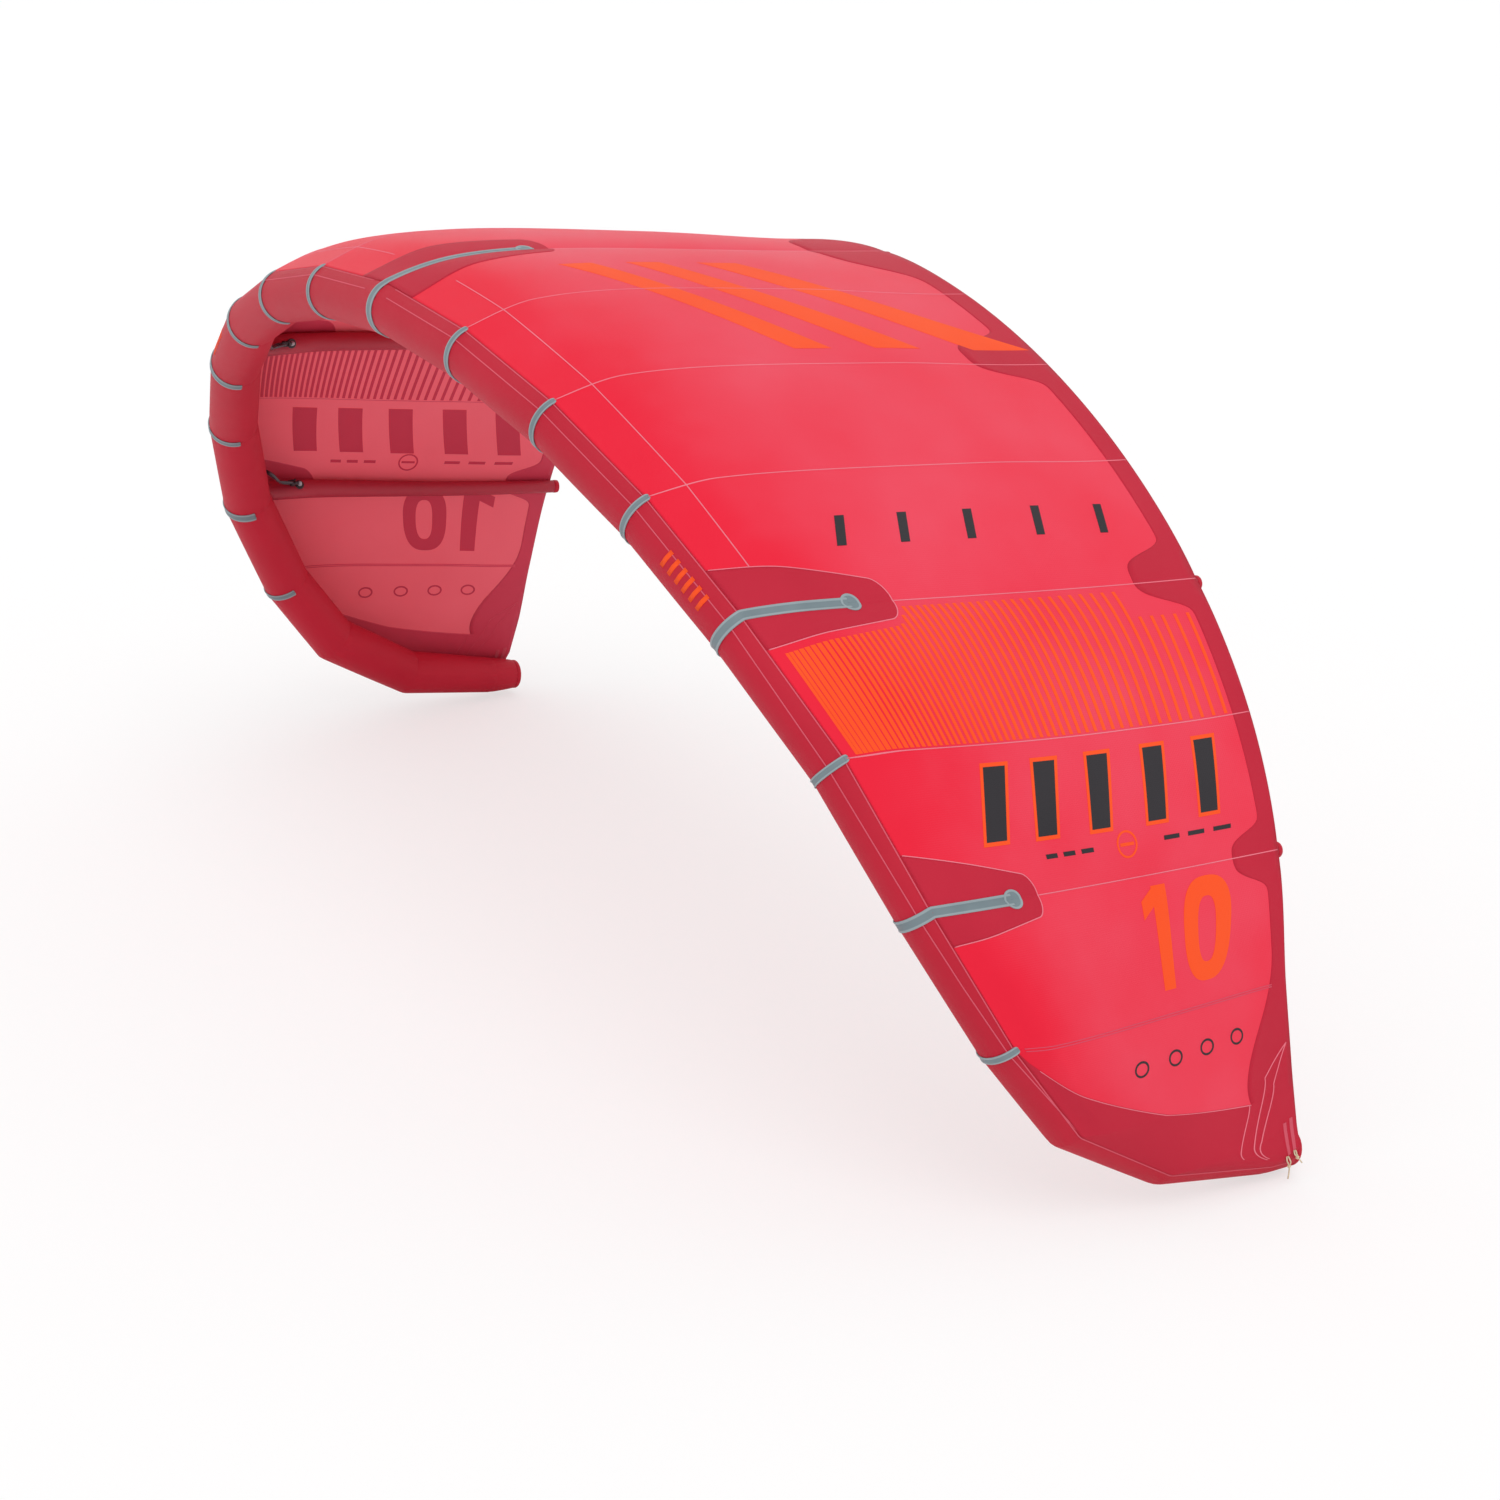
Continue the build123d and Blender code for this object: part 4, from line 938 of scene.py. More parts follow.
def tube_point(u, angle, height=0.0):
    """Point on the tube at stations u and ring angles, moved out by a height. The rings at the
    two seams of a segment are joined by straight lines."""
    u, angle, height = np.broadcast_arrays(np.asarray(u, float), np.asarray(angle, float), height)
    a = np.clip(np.abs(u), 0, last)
    k = np.clip(np.floor(a).astype(int), 0, last - 1)
    t = (a - k)[..., None]
    ends = []
    for station in (k, k + 1):
        radial = ring_up[station] * np.cos(angle)[..., None] + ring_front[station] * np.sin(angle)[..., None]
        stretch = np.sqrt(1 - np.sum(radial * directions[k], axis=-1, keepdims=True) ** 2)
        ends.append(centres[station] + radial * (tube_radii[station] + height)[..., None] / stretch)
    point = ends[0] * (1 - t) + ends[1] * t
    point[..., 0] *= np.where(u < 0, -1.0, 1.0)
    return point


def segment_part(segment, side):
    """One pipe of the casing, its rows crowded towards both seams."""
    share = (1 - np.cos(np.linspace(0, math.pi, 45))) / 2
    angle = full_turn(112)
    near = np.minimum(share, 1 - share)[:, None] * segment_lengths[segment]
    phase = 1.7 * segment
    waves = np.sin(17 * angle + phase) + 0.7 * np.sin(29 * angle + 2 * phase) + 0.5 * np.sin(41 * angle)
    ripples = RIPPLE * waves * np.exp(-near / RIPPLE_REACH) * (1 - np.exp(-near / 0.007))
    height = ripples - PUCKER * np.exp(-near / PUCKER_REACH) + BELLY * np.sin(share * math.pi)[:, None]
    outer = tube_point(side * (segment + share[:, None] * ALMOST), angle, height)
    inner = tube_point(side * (segment + np.array([0, 0.5, 1])[:, None] * ALMOST), angle, -WALL - PUCKER)
    return [pipe_rings(outer, inner)]


for segment in range(last):
    name = f"leading_edge_segment_{segment + 1:02d}"
    pair = both(lambda side: segment_part(segment, side))
    build(name + "_cloth", pair, [tube_cloth], [name])
print("leading edge:", last, "pairs of segments")

# %% [markdown]
# The inflation valve sits in a round hole of the first segment on the right. A cylinder along
# the valve's axis is taken away with a Boolean modifier, so that the check flap inside the valve
# has room to swing, and the result is kept as the piece's mesh.

# %% Hole for the inflation valve
VALVE_REACH, VALVE_ANGLE = 0.250, math.radians(215)  # along the segment, and round it
HOLE_RADIUS, HOLE_DEPTH = 0.016, 0.030

valve_radial = ring_up[1] * math.cos(VALVE_ANGLE) + ring_front[1] * math.sin(VALVE_ANGLE)
valve_radial = unit(valve_radial - directions[0] * (valve_radial @ directions[0]))
valve_seat = centres[0] + directions[0] * VALVE_REACH + valve_radial * tube_radii[0]
drill_rings = turned([[HOLE_RADIUS, -HOLE_DEPTH], [HOLE_RADIUS, HOLE_DEPTH]], valve_seat, valve_radial,
                     directions[0], 64)
drill_points, drill_faces, _, _ = solid_rings(drill_rings)
drill_mesh = bpy.data.meshes.new("drill")
drill_mesh.from_pydata(drill_points.tolist(), [], drill_faces)
drill = bpy.data.objects.new("drill", drill_mesh)
bpy.context.scene.collection.objects.link(drill)
casing = bpy.data.objects["leading_edge_segment_01_cloth"]
cut = casing.modifiers.new("hole", "BOOLEAN")
cut.object, cut.operation, cut.solver = drill, "DIFFERENCE", "MANIFOLD"
graph = bpy.context.evaluated_depsgraph_get()
finished = bpy.data.meshes.new_from_object(casing.evaluated_get(graph), preserve_all_data_layers=True,
                                           depsgraph=graph)
casing.modifiers.clear()
casing.data = finished
finished.materials.clear()
finished.materials.append(tube_cloth)
finished.polygons.foreach_set("material_index", np.zeros(len(finished.polygons), np.int32))
print("surface map kept:", [layer.name for layer in finished.uv_layers])
bpy.data.objects.remove(drill)
report(casing)

# %% [markdown]
# Each end of the tube is shut by a round cloth cap, a body turned on a lathe whose profile has a
# rounded rim. The gathers on its face are small waves round the axis.

# %% End caps of the leading edge
RIM = 0.008


def tip_cap_part(side):
    """Domed end of the tube, with a rounded rim and the cloth gathered on its face."""
    radius = tube_radii[-1]
    profile = [[radius, -0.001], [radius, 0.003]]
    profile += [[radius - RIM * (1 - math.cos(bend)), RIM + RIM * math.sin(bend)]
                for bend in np.linspace(0, math.pi / 2, 9)]
    profile += [[r, 0.0155 + 0.0004 * math.cos(r / radius * 9)] for r in (0.038, 0.028, 0.018, 0.009, 0.003)]
    rings = turned(profile, centres[-1], directions[-1], ring_up[-1], 96)
    fade = np.exp(-((np.array(profile)[:, 0, None] - 0.04) / 0.012) ** 2)
    gather = 0.0005 * np.sin(24 * full_turn(96)) * fade
    return [solid_rings(on_side(rings + gather[..., None] * directions[-1], side))]


report(build("leading_edge_tip_cap_cloth", both(tip_cap_part), [tube_cloth],
             ["leading_edge_tip_caps"]))

# %% [markdown]
# A row of stitches runs along the front of the tube and another beside the canopy's seam. They
# are narrow shells on the tube, and so are the short bars printed on its front.

# %% Stitches and dashes on the tube
DASHES, DASH_STEP, DASH_LENGTH = 6, 0.075, 0.032  # how many, and their step and length in stations
FIRST_DASH, DASH_ANGLE = 3.38, math.radians(62)


def tube_line(u, angle, width, height=0.0012):
    """Narrow shell along a line on the tube."""
    middle = tube_point(u, angle)
    share = np.array([-0.5, 0, 0.5]) * width
    radius = np.interp(np.abs(u), np.arange(last + 1), tube_radii)
    angles = angle[:, None] + share / radius[:, None]
    grid_u = u[:, None] + 0 * share
    uv = np.stack([np.linalg.norm(middle - middle[0], axis=1)[:, None] + 0 * share,
                   0 * u[:, None] + share], axis=-1)
    return shell(tube_point(grid_u, angles, height), tube_point(grid_u, angles, -0.0003), uv)


def tube_threads(side):
    """The row of stitches along the front of the tube, and the one at the canopy's seam."""
    a = np.linspace(0.15, 10.6, 260)
    front = np.radians(np.interp(a, [0, 4, 5, 6.5, 7, 8, 9, 10, 11], [48, 49, 55, 42, 34, 18, 5, 0, 0]))
    seam = np.full(len(a), seam_angle + math.radians(3))
    return [tube_line(side * a, front, THREAD), tube_line(side * a, seam, THREAD)]


def tube_dashes(side):
    """Short orange bars printed on the front of the tube."""
    starts = FIRST_DASH + DASH_STEP * np.arange(DASHES)
    return [tube_line(side * np.linspace(start, start + DASH_LENGTH, 5), np.full(5, DASH_ANGLE), 0.05, 0.0022)
            for start in starts]


report(build("tube_threads", both(tube_threads), [tube_thread, tube_thread]))
report(build("tube_dashes", both(tube_dashes), [orange_print, orange_print]))

# %% [markdown]
# ## Strips over the seams
# Grey rubber strips protect the joints of the tube from sand. In section a strip has a low
# channel between two raised rims. A short strip wraps the front of the tube. Over a strut the
# strip also runs back on the canopy and ends in a round pad.

# %% Seam strips
SHORT_HALF, LONG_HALF = 0.0115, 0.017  # half widths
STRIP_BASE = 0.0017  # height of the bed over the cloth
END_NARROW = 0.45  # width of the last row, under the tube
STRIP_PROFILE = np.array([[-1.0, 0.0], [-0.97, 1.6], [-0.86, 2.5], [-0.70, 2.3], [-0.58, 1.2], [-0.3, 1.0],
                          [0.3, 1.0], [0.58, 1.2], [0.70, 2.3], [0.86, 2.5], [0.97, 1.6], [1.0, 0.0]])
RIM_FACES = [1, 1, 1, 1, 0, 0, 0, 1, 1, 1, 1]  # which faces across the strip belong to its rims
PAD_RADIUS, PAD_POINTS, PAD_SHIFT = 0.028, 56, 0.004
PAD_PROFILE = np.array([[0.04, 1.1], [0.3, 1.1], [0.6, 1.1], [0.76, 1.3], [0.84, 2.4], [0.93, 2.6],
                        [0.985, 1.8], [1.0, 0.0]])
STRIP_LENGTHS = {0: 0.455, 4: 0.305, 6: 0.235}
pad_places = {station: place_at(station, length) for station, length in STRIP_LENGTHS.items()}
RING_FROM, RING_TO = seam_angle + math.radians(1), math.radians(178)


def side_direction(station, outboard):
    """Direction of the tube segment on one side of a station."""
    if outboard:
        return directions[min(station, last - 1)]
    return -directions[station - 1] if station else directions[0] * mirror


def strip_point(station, place, share, height, half_width):
    """Point on the strip's bed. A place below 0 is on the canopy, -v, and one above 0 is an
    angle round the tube. The share goes from -1 to 1 across the strip."""
    place, share, height = np.broadcast_arrays(place, share, height)
    point = np.zeros(place.shape + (3,))
    cloth_side = place < 0
    v = -place[cloth_side]
    du, _ = spacing(np.full(len(v), float(station)), v)
    moved = station + share[cloth_side] * half_width / du
    point[cloth_side] = canopy(moved, v, STRIP_BASE + height[cloth_side])
    angle, part, high = place[~cloth_side], share[~cloth_side], height[~cloth_side]
    radial = ring_up[station] * np.cos(angle)[:, None] + ring_front[station] * np.sin(angle)[:, None]
    stretch = np.sqrt(1 - (radial @ directions[min(station, last - 1)]) ** 2)
    ring = centres[station] + radial * ((tube_radii[station] + STRIP_BASE + high) / stretch)[:, None]
    aside = np.where((part > 0)[:, None], side_direction(station, True), side_direction(station, False))
    point[~cloth_side] = ring + aside * (np.abs(part) * half_width)[:, None]
    return point


def strip_parts(station, side, long_strip):
    """One strip: its bed, channel and rims, narrowed to a round end where it stops."""
    ring = np.linspace(RING_FROM, RING_TO, 90)
    narrow_ring = np.append(np.ones(89), END_NARROW)
    half_width = LONG_HALF if long_strip else SHORT_HALF
    if long_strip:
        place = np.concatenate([-np.linspace(pad_places[station], 0.003, 60), ring])
        narrow = np.concatenate([np.ones(60), narrow_ring])
    else:
        tail = half_width / tube_radii[station] * 0.9
        place = np.concatenate([RING_FROM - tail * np.array([0.98, 0.87, 0.65, 0.35, 0]), ring])
        narrow = np.concatenate([np.sqrt(1 - np.linspace(0.95, 0, 5) ** 2), narrow_ring])
    share = STRIP_PROFILE[None, :, 0] * narrow[:, None]
    rise = STRIP_PROFILE[None, :, 1] / 1000
    top = on_side(strip_point(station, place[:, None], share, rise, half_width), side)
    bottom = on_side(strip_point(station, place[:, None], share, -0.0012, half_width), side)
    across = STRIP_PROFILE[None, :, 0] * half_width
    uv = np.stack(np.broadcast_arrays(travelled(top[:, 5])[:, None], across), axis=-1)
    points, faces, uvs, _ = shell(top, bottom, uv)
    numbers = np.zeros(len(faces), int)
    numbers[:len(RIM_FACES) * (len(place) - 1)] = np.tile(RIM_FACES, len(place) - 1)
    return [(points, faces, uvs, numbers)]


def pad_part(station, side):
    """Round pad at the strip's rear end. Its circles run outwards on the cloth and back inwards
    over a channel with a raised rim, and the rim's faces have material 1."""
    share = np.concatenate([PAD_PROFILE[:, 0], PAD_PROFILE[::-1, 0]])[:, None]
    top = STRIP_BASE + 0.0004 + PAD_PROFILE[::-1, 1] / 1000
    height = np.concatenate([np.full(len(top), STRIP_BASE - 0.001), top])[:, None]
    v0 = pad_places[station] + PAD_SHIFT
    du, dv = spacing(np.array(float(station)), np.array(v0))
    u = station + PAD_RADIUS * share * np.cos(full_turn(PAD_POINTS)) / float(du)
    v = v0 + PAD_RADIUS * share * np.sin(full_turn(PAD_POINTS)) / float(dv)
    points, faces, uv, _ = solid_rings(on_side(canopy(u, v, height), side))
    numbers = np.zeros(len(faces), int)
    numbers[8 * PAD_POINTS:12 * PAD_POINTS] = 1
    return [(points, faces, uv, numbers)]


short_parts = [part for station in (1, 2, 3, 5, 7) for side in (1, -1)
               for part in strip_parts(station, side, False)]
long_parts = [part for station in struts for side in sides_of(station)
              for part in strip_parts(station, side, True) + pad_part(station, side)]
rubber = [grey_rubber, rim_rubber]
report(build("seam_strips_short_rubber", short_parts, rubber, ["seam_strips_short"]))
report(build("seam_strips_long_rubber", long_parts, rubber, ["seam_strips_long"]))

# %% [markdown]
# ## Struts
# Each strut is a tapered tube sewn under the canopy. Its front is cut to the round of the
# leading edge, and its rear end carries a round cap. The front edge is found by halving, for
# all directions round the strut at once: how far back a line along the strut clears the tube.

# %% Struts and their end caps
STRUT_ROOT, STRUT_END = 0.040, 0.023  # radii
OVERHANG = 0.012  # how far a strut reaches past the trailing edge
STRUT_POINTS = 72  # round a strut
FRONT_GAP = 0.0004  # between a strut's front edge and the leading edge


def strut_axis(station, share):
    """Axis point, direction, normal out of the arch and radius of a strut at shares (n,) of its
    canopy line, whose tangent comes from the Bezier line's own derivative."""
    p = sections[station]
    v = np.asarray(share, float)[:, None]
    point = bezier(p, v[:, 0])
    ahead = unit((1 - v) ** 2 * (p[1] - p[0]) + 2 * v * (1 - v) * (p[2] - p[1]) + v ** 2 * (p[3] - p[2]))
    chord = unit(p[3] - p[0])
    lift = unit(outward[station] - chord * (outward[station] @ chord))
    normal = unit(lift - ahead * (ahead @ lift)[:, None])
    radius = STRUT_ROOT + (STRUT_END - STRUT_ROOT) * v
    inner = directions[station - 1] if station else directions[0] * [1, -1, -1]
    turn = math.acos(float(directions[station] @ inner))
    gap = 3 * clearance + STRUT_ROOT * math.tan(turn / 2) ** 2 / 2
    return point - normal * (radius + gap), ahead, normal, radius[:, 0]


def clearance_from_tube(points, station):
    """Distance of points from the skin of the leading edge at a station."""
    away = points - centres[station]
    lines = (side_direction(station, True), side_direction(station, False))
    return np.min([np.linalg.norm(away - (away @ line)[..., None] * line, axis=-1) for line in lines],
                  axis=0) - tube_radii[station]


def strut_rings(station, inset):
    """Rings along a strut, the first one cut to the leading edge."""
    turn = full_turn(STRUT_POINTS)[:, None]

    def at(share):
        centre, ahead, normal, radius = strut_axis(station, share)
        side = np.cross(normal, ahead)
        return centre + (radius - inset)[:, None] * (side * np.cos(turn) + normal * np.sin(turn))

    low, high = np.full(STRUT_POINTS, -0.02), np.full(STRUT_POINTS, 0.2)
    for _ in range(24):
        middle = (low + high) / 2
        clear = clearance_from_tube(at(middle), station) > FRONT_GAP
        low, high = np.where(clear, low, middle), np.where(clear, middle, high)
    rings = np.stack([at(high + (1 - high) * step) for step in np.linspace(0, 1, 70)])
    ahead = strut_axis(station, np.ones(1))[1]
    return np.concatenate([rings, [rings[-1] + ahead * OVERHANG * part for part in (0.5, 1)]])


def strut_part(station, side):
    """Casing of one strut, a pipe with a thin wall."""
    outer, inner = strut_rings(station, 0.0), strut_rings(station, WALL)[[0, 20, 45, 71]]
    return [pipe_rings(on_side(outer, side), on_side(inner, side))]


def strut_cap_part(station, side):
    """Closed end of a strut, rounded at its rim and slightly domed."""
    centre, ahead, normal, radius = (x[0] for x in strut_axis(station, np.ones(1)))
    end = centre + ahead * OVERHANG
    profile = [[radius + 0.0006, -0.006], [radius + 0.0008, 0.0]]
    profile += [[radius + 0.0004 - 0.007 * (1 - math.cos(bend)), 0.0062 + 0.007 * math.sin(bend)]
                for bend in np.linspace(0, math.pi / 2, 8)]
    profile += [[radius * 0.4, 0.0137], [radius * 0.1, 0.014]]
    return [solid_rings(on_side(turned(profile, end, ahead, normal, 64), side))]


strut_names = {0: "centre_strut", 4: "inner_struts", 6: "outer_struts"}
for station, name in strut_names.items():
    casings = [part for side in sides_of(station) for part in strut_part(station, side)]
    report(build(name + "_cloth", casings, [strut_cloth], [name + "_casing"]))
caps = [part for station in struts for side in sides_of(station) for part in strut_cap_part(station, side)]
report(build("strut_end_cap_cloth", caps, [tube_cloth], ["strut_end_caps"]))

# %% [markdown]
# ## Hoses between the tube and the struts
# One pump fills the whole frame, so a short hose joins the leading edge to each strut. A moulded
# elbow sits on each tube, and a clip with a lever can shut the hose. The elbows are turned
# round bodies and a bent pipe, and the hose follows straight runs joined by smooth curves.

# %% Fittings on the tube and on the struts
EDGE_ANGLE, EDGE_OFFSET = math.radians(-55), 0.074  # round the tube, and from the seam
FITTING_REACH, FITTING_TILT = 0.250, math.radians(25)  # along a strut, and round it
STEM_HEIGHT, NOZZLE = 0.016, 0.018
ELBOW_BASE = [[0.0168, -0.005], [0.017, 0.0005], [0.0169, 0.0028], [0.0160, 0.0042], [0.0146, 0.0048],
              [0.0120, 0.0050], [0.0112, 0.0044], [0.0104, 0.0050], [0.0082, 0.0056], [0.0020, 0.0057]]
STEM_RADIUS, NOZZLE_RADIUS, RIB, RIB_STEP = 0.0070, 0.0044, 0.0005, 4  # the last in millimetres


def edge_fitting(station):
    """Seat, direction off the tube and nozzle direction of the fitting on the leading edge."""
    segment = max(station - 1, 0)
    distance = EDGE_OFFSET if station == 0 else segment_lengths[segment] - EDGE_OFFSET
    axis = directions[segment]
    radial = ring_up[segment + 1] * math.cos(EDGE_ANGLE) + ring_front[segment + 1] * math.sin(EDGE_ANGLE)
    radial = unit(radial - axis * (radial @ axis))
    seat = centres[segment] + axis * distance + radial * tube_radii[segment]
    return seat, radial, -np.cross(axis, radial)


def strut_fitting(station):
    """Seat, direction off the strut and nozzle direction of the fitting on a strut."""
    v = np.linspace(0, 1, 201)
    share = np.interp(FITTING_REACH, travelled(bezier(sections[station], v)), v)
    centre, ahead, normal, radius = (x[0] for x in strut_axis(station, np.array([share])))
    side = np.cross(ahead, normal) * (1 if station == 0 else -1)
    radial = side * math.cos(FITTING_TILT) - normal * math.sin(FITTING_TILT)
    return centre + radial * radius, radial, -ahead


def rounded_route(corners, share=0.45, steps=14):
    """Path along straight runs, where a parabola replaces each corner."""
    corners = np.asarray(corners)
    path = [corners[:1]]
    t = np.linspace(0, 1, steps)[:, None]
    for before, corner, after in zip(corners, corners[1:], corners[2:]):
        reach = share * min(np.linalg.norm(corner - before), np.linalg.norm(after - corner))
        a, b = corner + unit(before - corner) * reach, corner + unit(after - corner) * reach
        path.append((1 - t) ** 2 * a + 2 * t * (1 - t) * corner + t ** 2 * b)
    path.append(corners[-1:])
    return np.concatenate(path)


def evenly(path, count):
    """So many points at even distances along a path, and their distances."""
    ahead = travelled(path)
    fine = np.linspace(0, ahead[-1], count)
    return np.stack([np.interp(fine, ahead, path[:, axis]) for axis in range(3)], axis=1), fine


def elbow_parts(seat, radial, nozzle):
    """Base with a rounded rim and a groove, then an elbow with a ribbed nozzle."""
    corner = seat + radial * STEM_HEIGHT
    route, fine = evenly(rounded_route([seat + radial * 0.004, corner, corner + nozzle * NOZZLE], 0.5, 18), 70)
    rest = fine[-1] - fine
    ribs = np.where(rest < 0.012, RIB * ((rest * 1000) % RIB_STEP) / RIB_STEP, 0)
    radius = np.where(rest > 0.0128, STEM_RADIUS, NOZZLE_RADIUS) + ribs + np.where(fine < 0.003, 0.0015, 0)
    points, faces, uv, _ = solid_rings(turned(ELBOW_BASE, seat, radial, nozzle, 48))
    return [(points, faces, uv, 1), solid_rings(circle_rings(route, radius, np.cross(radial, nozzle), 28))]


def sided(station, parts):
    """Parts of the right side, with their mirror images where the station has two."""
    if station == 0:
        return parts
    made = list(parts)
    for points, faces, uv, numbers in parts:
        made.append((mirrored(points), [face[::-1] for face in face_lists(faces)], uv, numbers))
    return made


def for_each_strut(make):
    """Parts at the three kinds of strut, on both sides."""
    return [part for station in struts for part in sided(station, make(station))]


plastics = [grey_plastic, black_plastic]
report(build("edge_elbows", for_each_strut(lambda k: elbow_parts(*edge_fitting(k))), plastics,
             ["edge_hose_fittings"]))
report(build("strut_elbows", for_each_strut(lambda k: elbow_parts(*strut_fitting(k))), plastics,
             ["strut_hose_fittings"]))

# %% Hoses
HOSE_RADIUS, HOSE_WALL, HOSE_SAG = 0.006, 0.0015, 0.016
ON_NOZZLE = 0.0073  # where the hose begins, from the elbow's corner
EDGE_LEAD, STRUT_LEAD = 0.040, 0.062  # straight runs before the hose bends


def hose_path(station):
    """Path of a hose from the leading edge fitting to the strut fitting, with its sag."""
    (seat, radial, nozzle), (seat2, radial2, nozzle2) = edge_fitting(station), strut_fitting(station)
    start = seat + radial * STEM_HEIGHT + nozzle * ON_NOZZLE
    end = seat2 + radial2 * STEM_HEIGHT + nozzle2 * ON_NOZZLE
    lead, tail = start + nozzle * EDGE_LEAD, end + nozzle2 * STRUT_LEAD
    sag = (lead + tail) / 2 - outward[station] * HOSE_SAG
    return rounded_route([start, lead, sag, tail, end])


def hose_part(station):
    """Hose of even radius, a pipe with a wall."""
    path, _ = evenly(hose_path(station), 120)
    rings = circle_rings(path, HOSE_RADIUS, along[station], 24)
    bore = circle_rings(path[[0, 3, 60, 116, 119]], HOSE_RADIUS - HOSE_WALL, along[station], 24)
    return [pipe_rings(rings, bore)]


report(build("connecting_hoses", for_each_strut(hose_part), [hose_rubber], ["one_pump_hoses"]))

# %% Clips on the hoses
CLIP_HALF, CLIP_LENGTH, CLIP_BACK, CLIP_BORE = 0.0103, 0.018, 0.022, 0.0063
CLIP_PROFILE = np.array([[-0.5, 0.90], [-0.46, 0.97], [-0.4, 1.0], [0.4, 1.0], [0.46, 0.97], [0.5, 0.90]])
EAR_APART, EAR_REACH, EAR_FOOT, EAR_TOP = 0.007, 3.8, 5.4, 3.6
EAR_PROFILE = np.array([[0.6, -1.5], [0.95, -1.4], [1.0, -1.0], [1.0, 1.0], [0.95, 1.4], [0.6, 1.5]]) / 1000
PIN_X, PIN_HEIGHT, PIN_HALF, PIN_RADIUS = -0.005, 0.01425, 0.0092, 0.0015


def clip_parts(station):
    """Body of a hose clip: a rounded square collar round the hose with two ears and a pin."""
    seat, radial, nozzle = strut_fitting(station)
    middle = seat + radial * STEM_HEIGHT + nozzle * (ON_NOZZLE + CLIP_BACK)
    third = np.cross(radial, nozzle)
    turn = full_turn(64)[:, None]
    square = (np.abs(np.cos(turn)) ** 6 + np.abs(np.sin(turn)) ** 6) ** (-1 / 6)

    def rings(radius, shape, rows):
        spokes = third * (np.cos(turn) * shape) + radial * (np.sin(turn) * shape)
        return middle + rows[:, :1, None] * CLIP_LENGTH * nozzle + rows[:, 1:2, None] * radius * spokes

    bore = rings(CLIP_BORE, np.ones((64, 1)), CLIP_PROFILE[[0, 5]] * [1, 1 / 0.9])
    parts = [pipe_rings(rings(CLIP_HALF, square, CLIP_PROFILE), bore)]
    stem = np.where(np.sin(turn) < 0, EAR_FOOT, EAR_TOP)
    spokes = nozzle * (np.cos(turn) * EAR_REACH) + radial * (np.sin(turn) * stem)
    pin = middle + nozzle * PIN_X + radial * PIN_HEIGHT
    for sign in (1, -1):
        ear = EAR_PROFILE[:, 1, None, None] * third + EAR_PROFILE[:, 0, None, None] * spokes
        parts.append(solid_rings(pin + third * sign * EAR_APART + ear))
    ends = pin + third * np.linspace(-PIN_HALF, PIN_HALF, 6)[:, None]
    return parts + [solid_rings(circle_rings(ends, PIN_RADIUS, radial, 20))]


report(build("hose_clip_bodies", for_each_strut(clip_parts), [black_plastic], ["hose_clips"]))

# %% [markdown]
# ## Wing tip webbing and its lines
# Two strips of webbing are sewn along the trailing edge of each wing tip, outside and inside,
# and a knotted line hangs from each. The other strand of a line, and its knot, are pieces on it.

# %% Webbing strips
WEBBING_HALF, WEBBING_LENGTH, WEBBING_GAUGE = 0.007, 0.088, 0.0012
WEBBING_SETBACKS = (0.052, 0.024)  # from the trailing edge, front strip and rear strip


def webbing_parts(side, setback):
    """Two strips that follow the cloth upwards from the lowest seam but one."""
    u = np.linspace(last - 1, 8, 160)
    reach = np.linalg.norm(sections[:, 3] - sections[:, 2], axis=1) * 3
    v = 1 - setback / np.interp(u, np.arange(last + 1), reach)
    ahead = travelled(canopy(u, v))
    fine = np.linspace(0, WEBBING_LENGTH, 50)
    u, v = np.interp(fine, ahead, u), np.interp(fine, ahead, v)
    reach = np.interp(u, np.arange(last + 1), reach)
    share = np.array([-1, -0.9, -0.45, 0, 0.45, 0.9, 1])
    grid_v = v[:, None] + share * WEBBING_HALF / reach[:, None]
    grid_u = side * u[:, None] + 0 * share
    uv = np.stack([fine[:, None] + 0 * share, share * WEBBING_HALF + 0 * u[:, None]], axis=-1)
    edge = 0.0003 + np.array([0.6, 1, 1.1, 1.05, 1.1, 1, 0.6]) * WEBBING_GAUGE
    return [shell(canopy(grid_u, grid_v, sign * (WEBBING_GAUGE + edge)),
                  canopy(grid_u, grid_v, sign * WEBBING_GAUGE), uv) for sign in (1, -1)]


strips = [part for side in (1, -1) for setback in WEBBING_SETBACKS for part in webbing_parts(side, setback)]
report(build("tip_webbing_strips", strips, [webbing_cloth, webbing_cloth], ["tip_webbing"]))

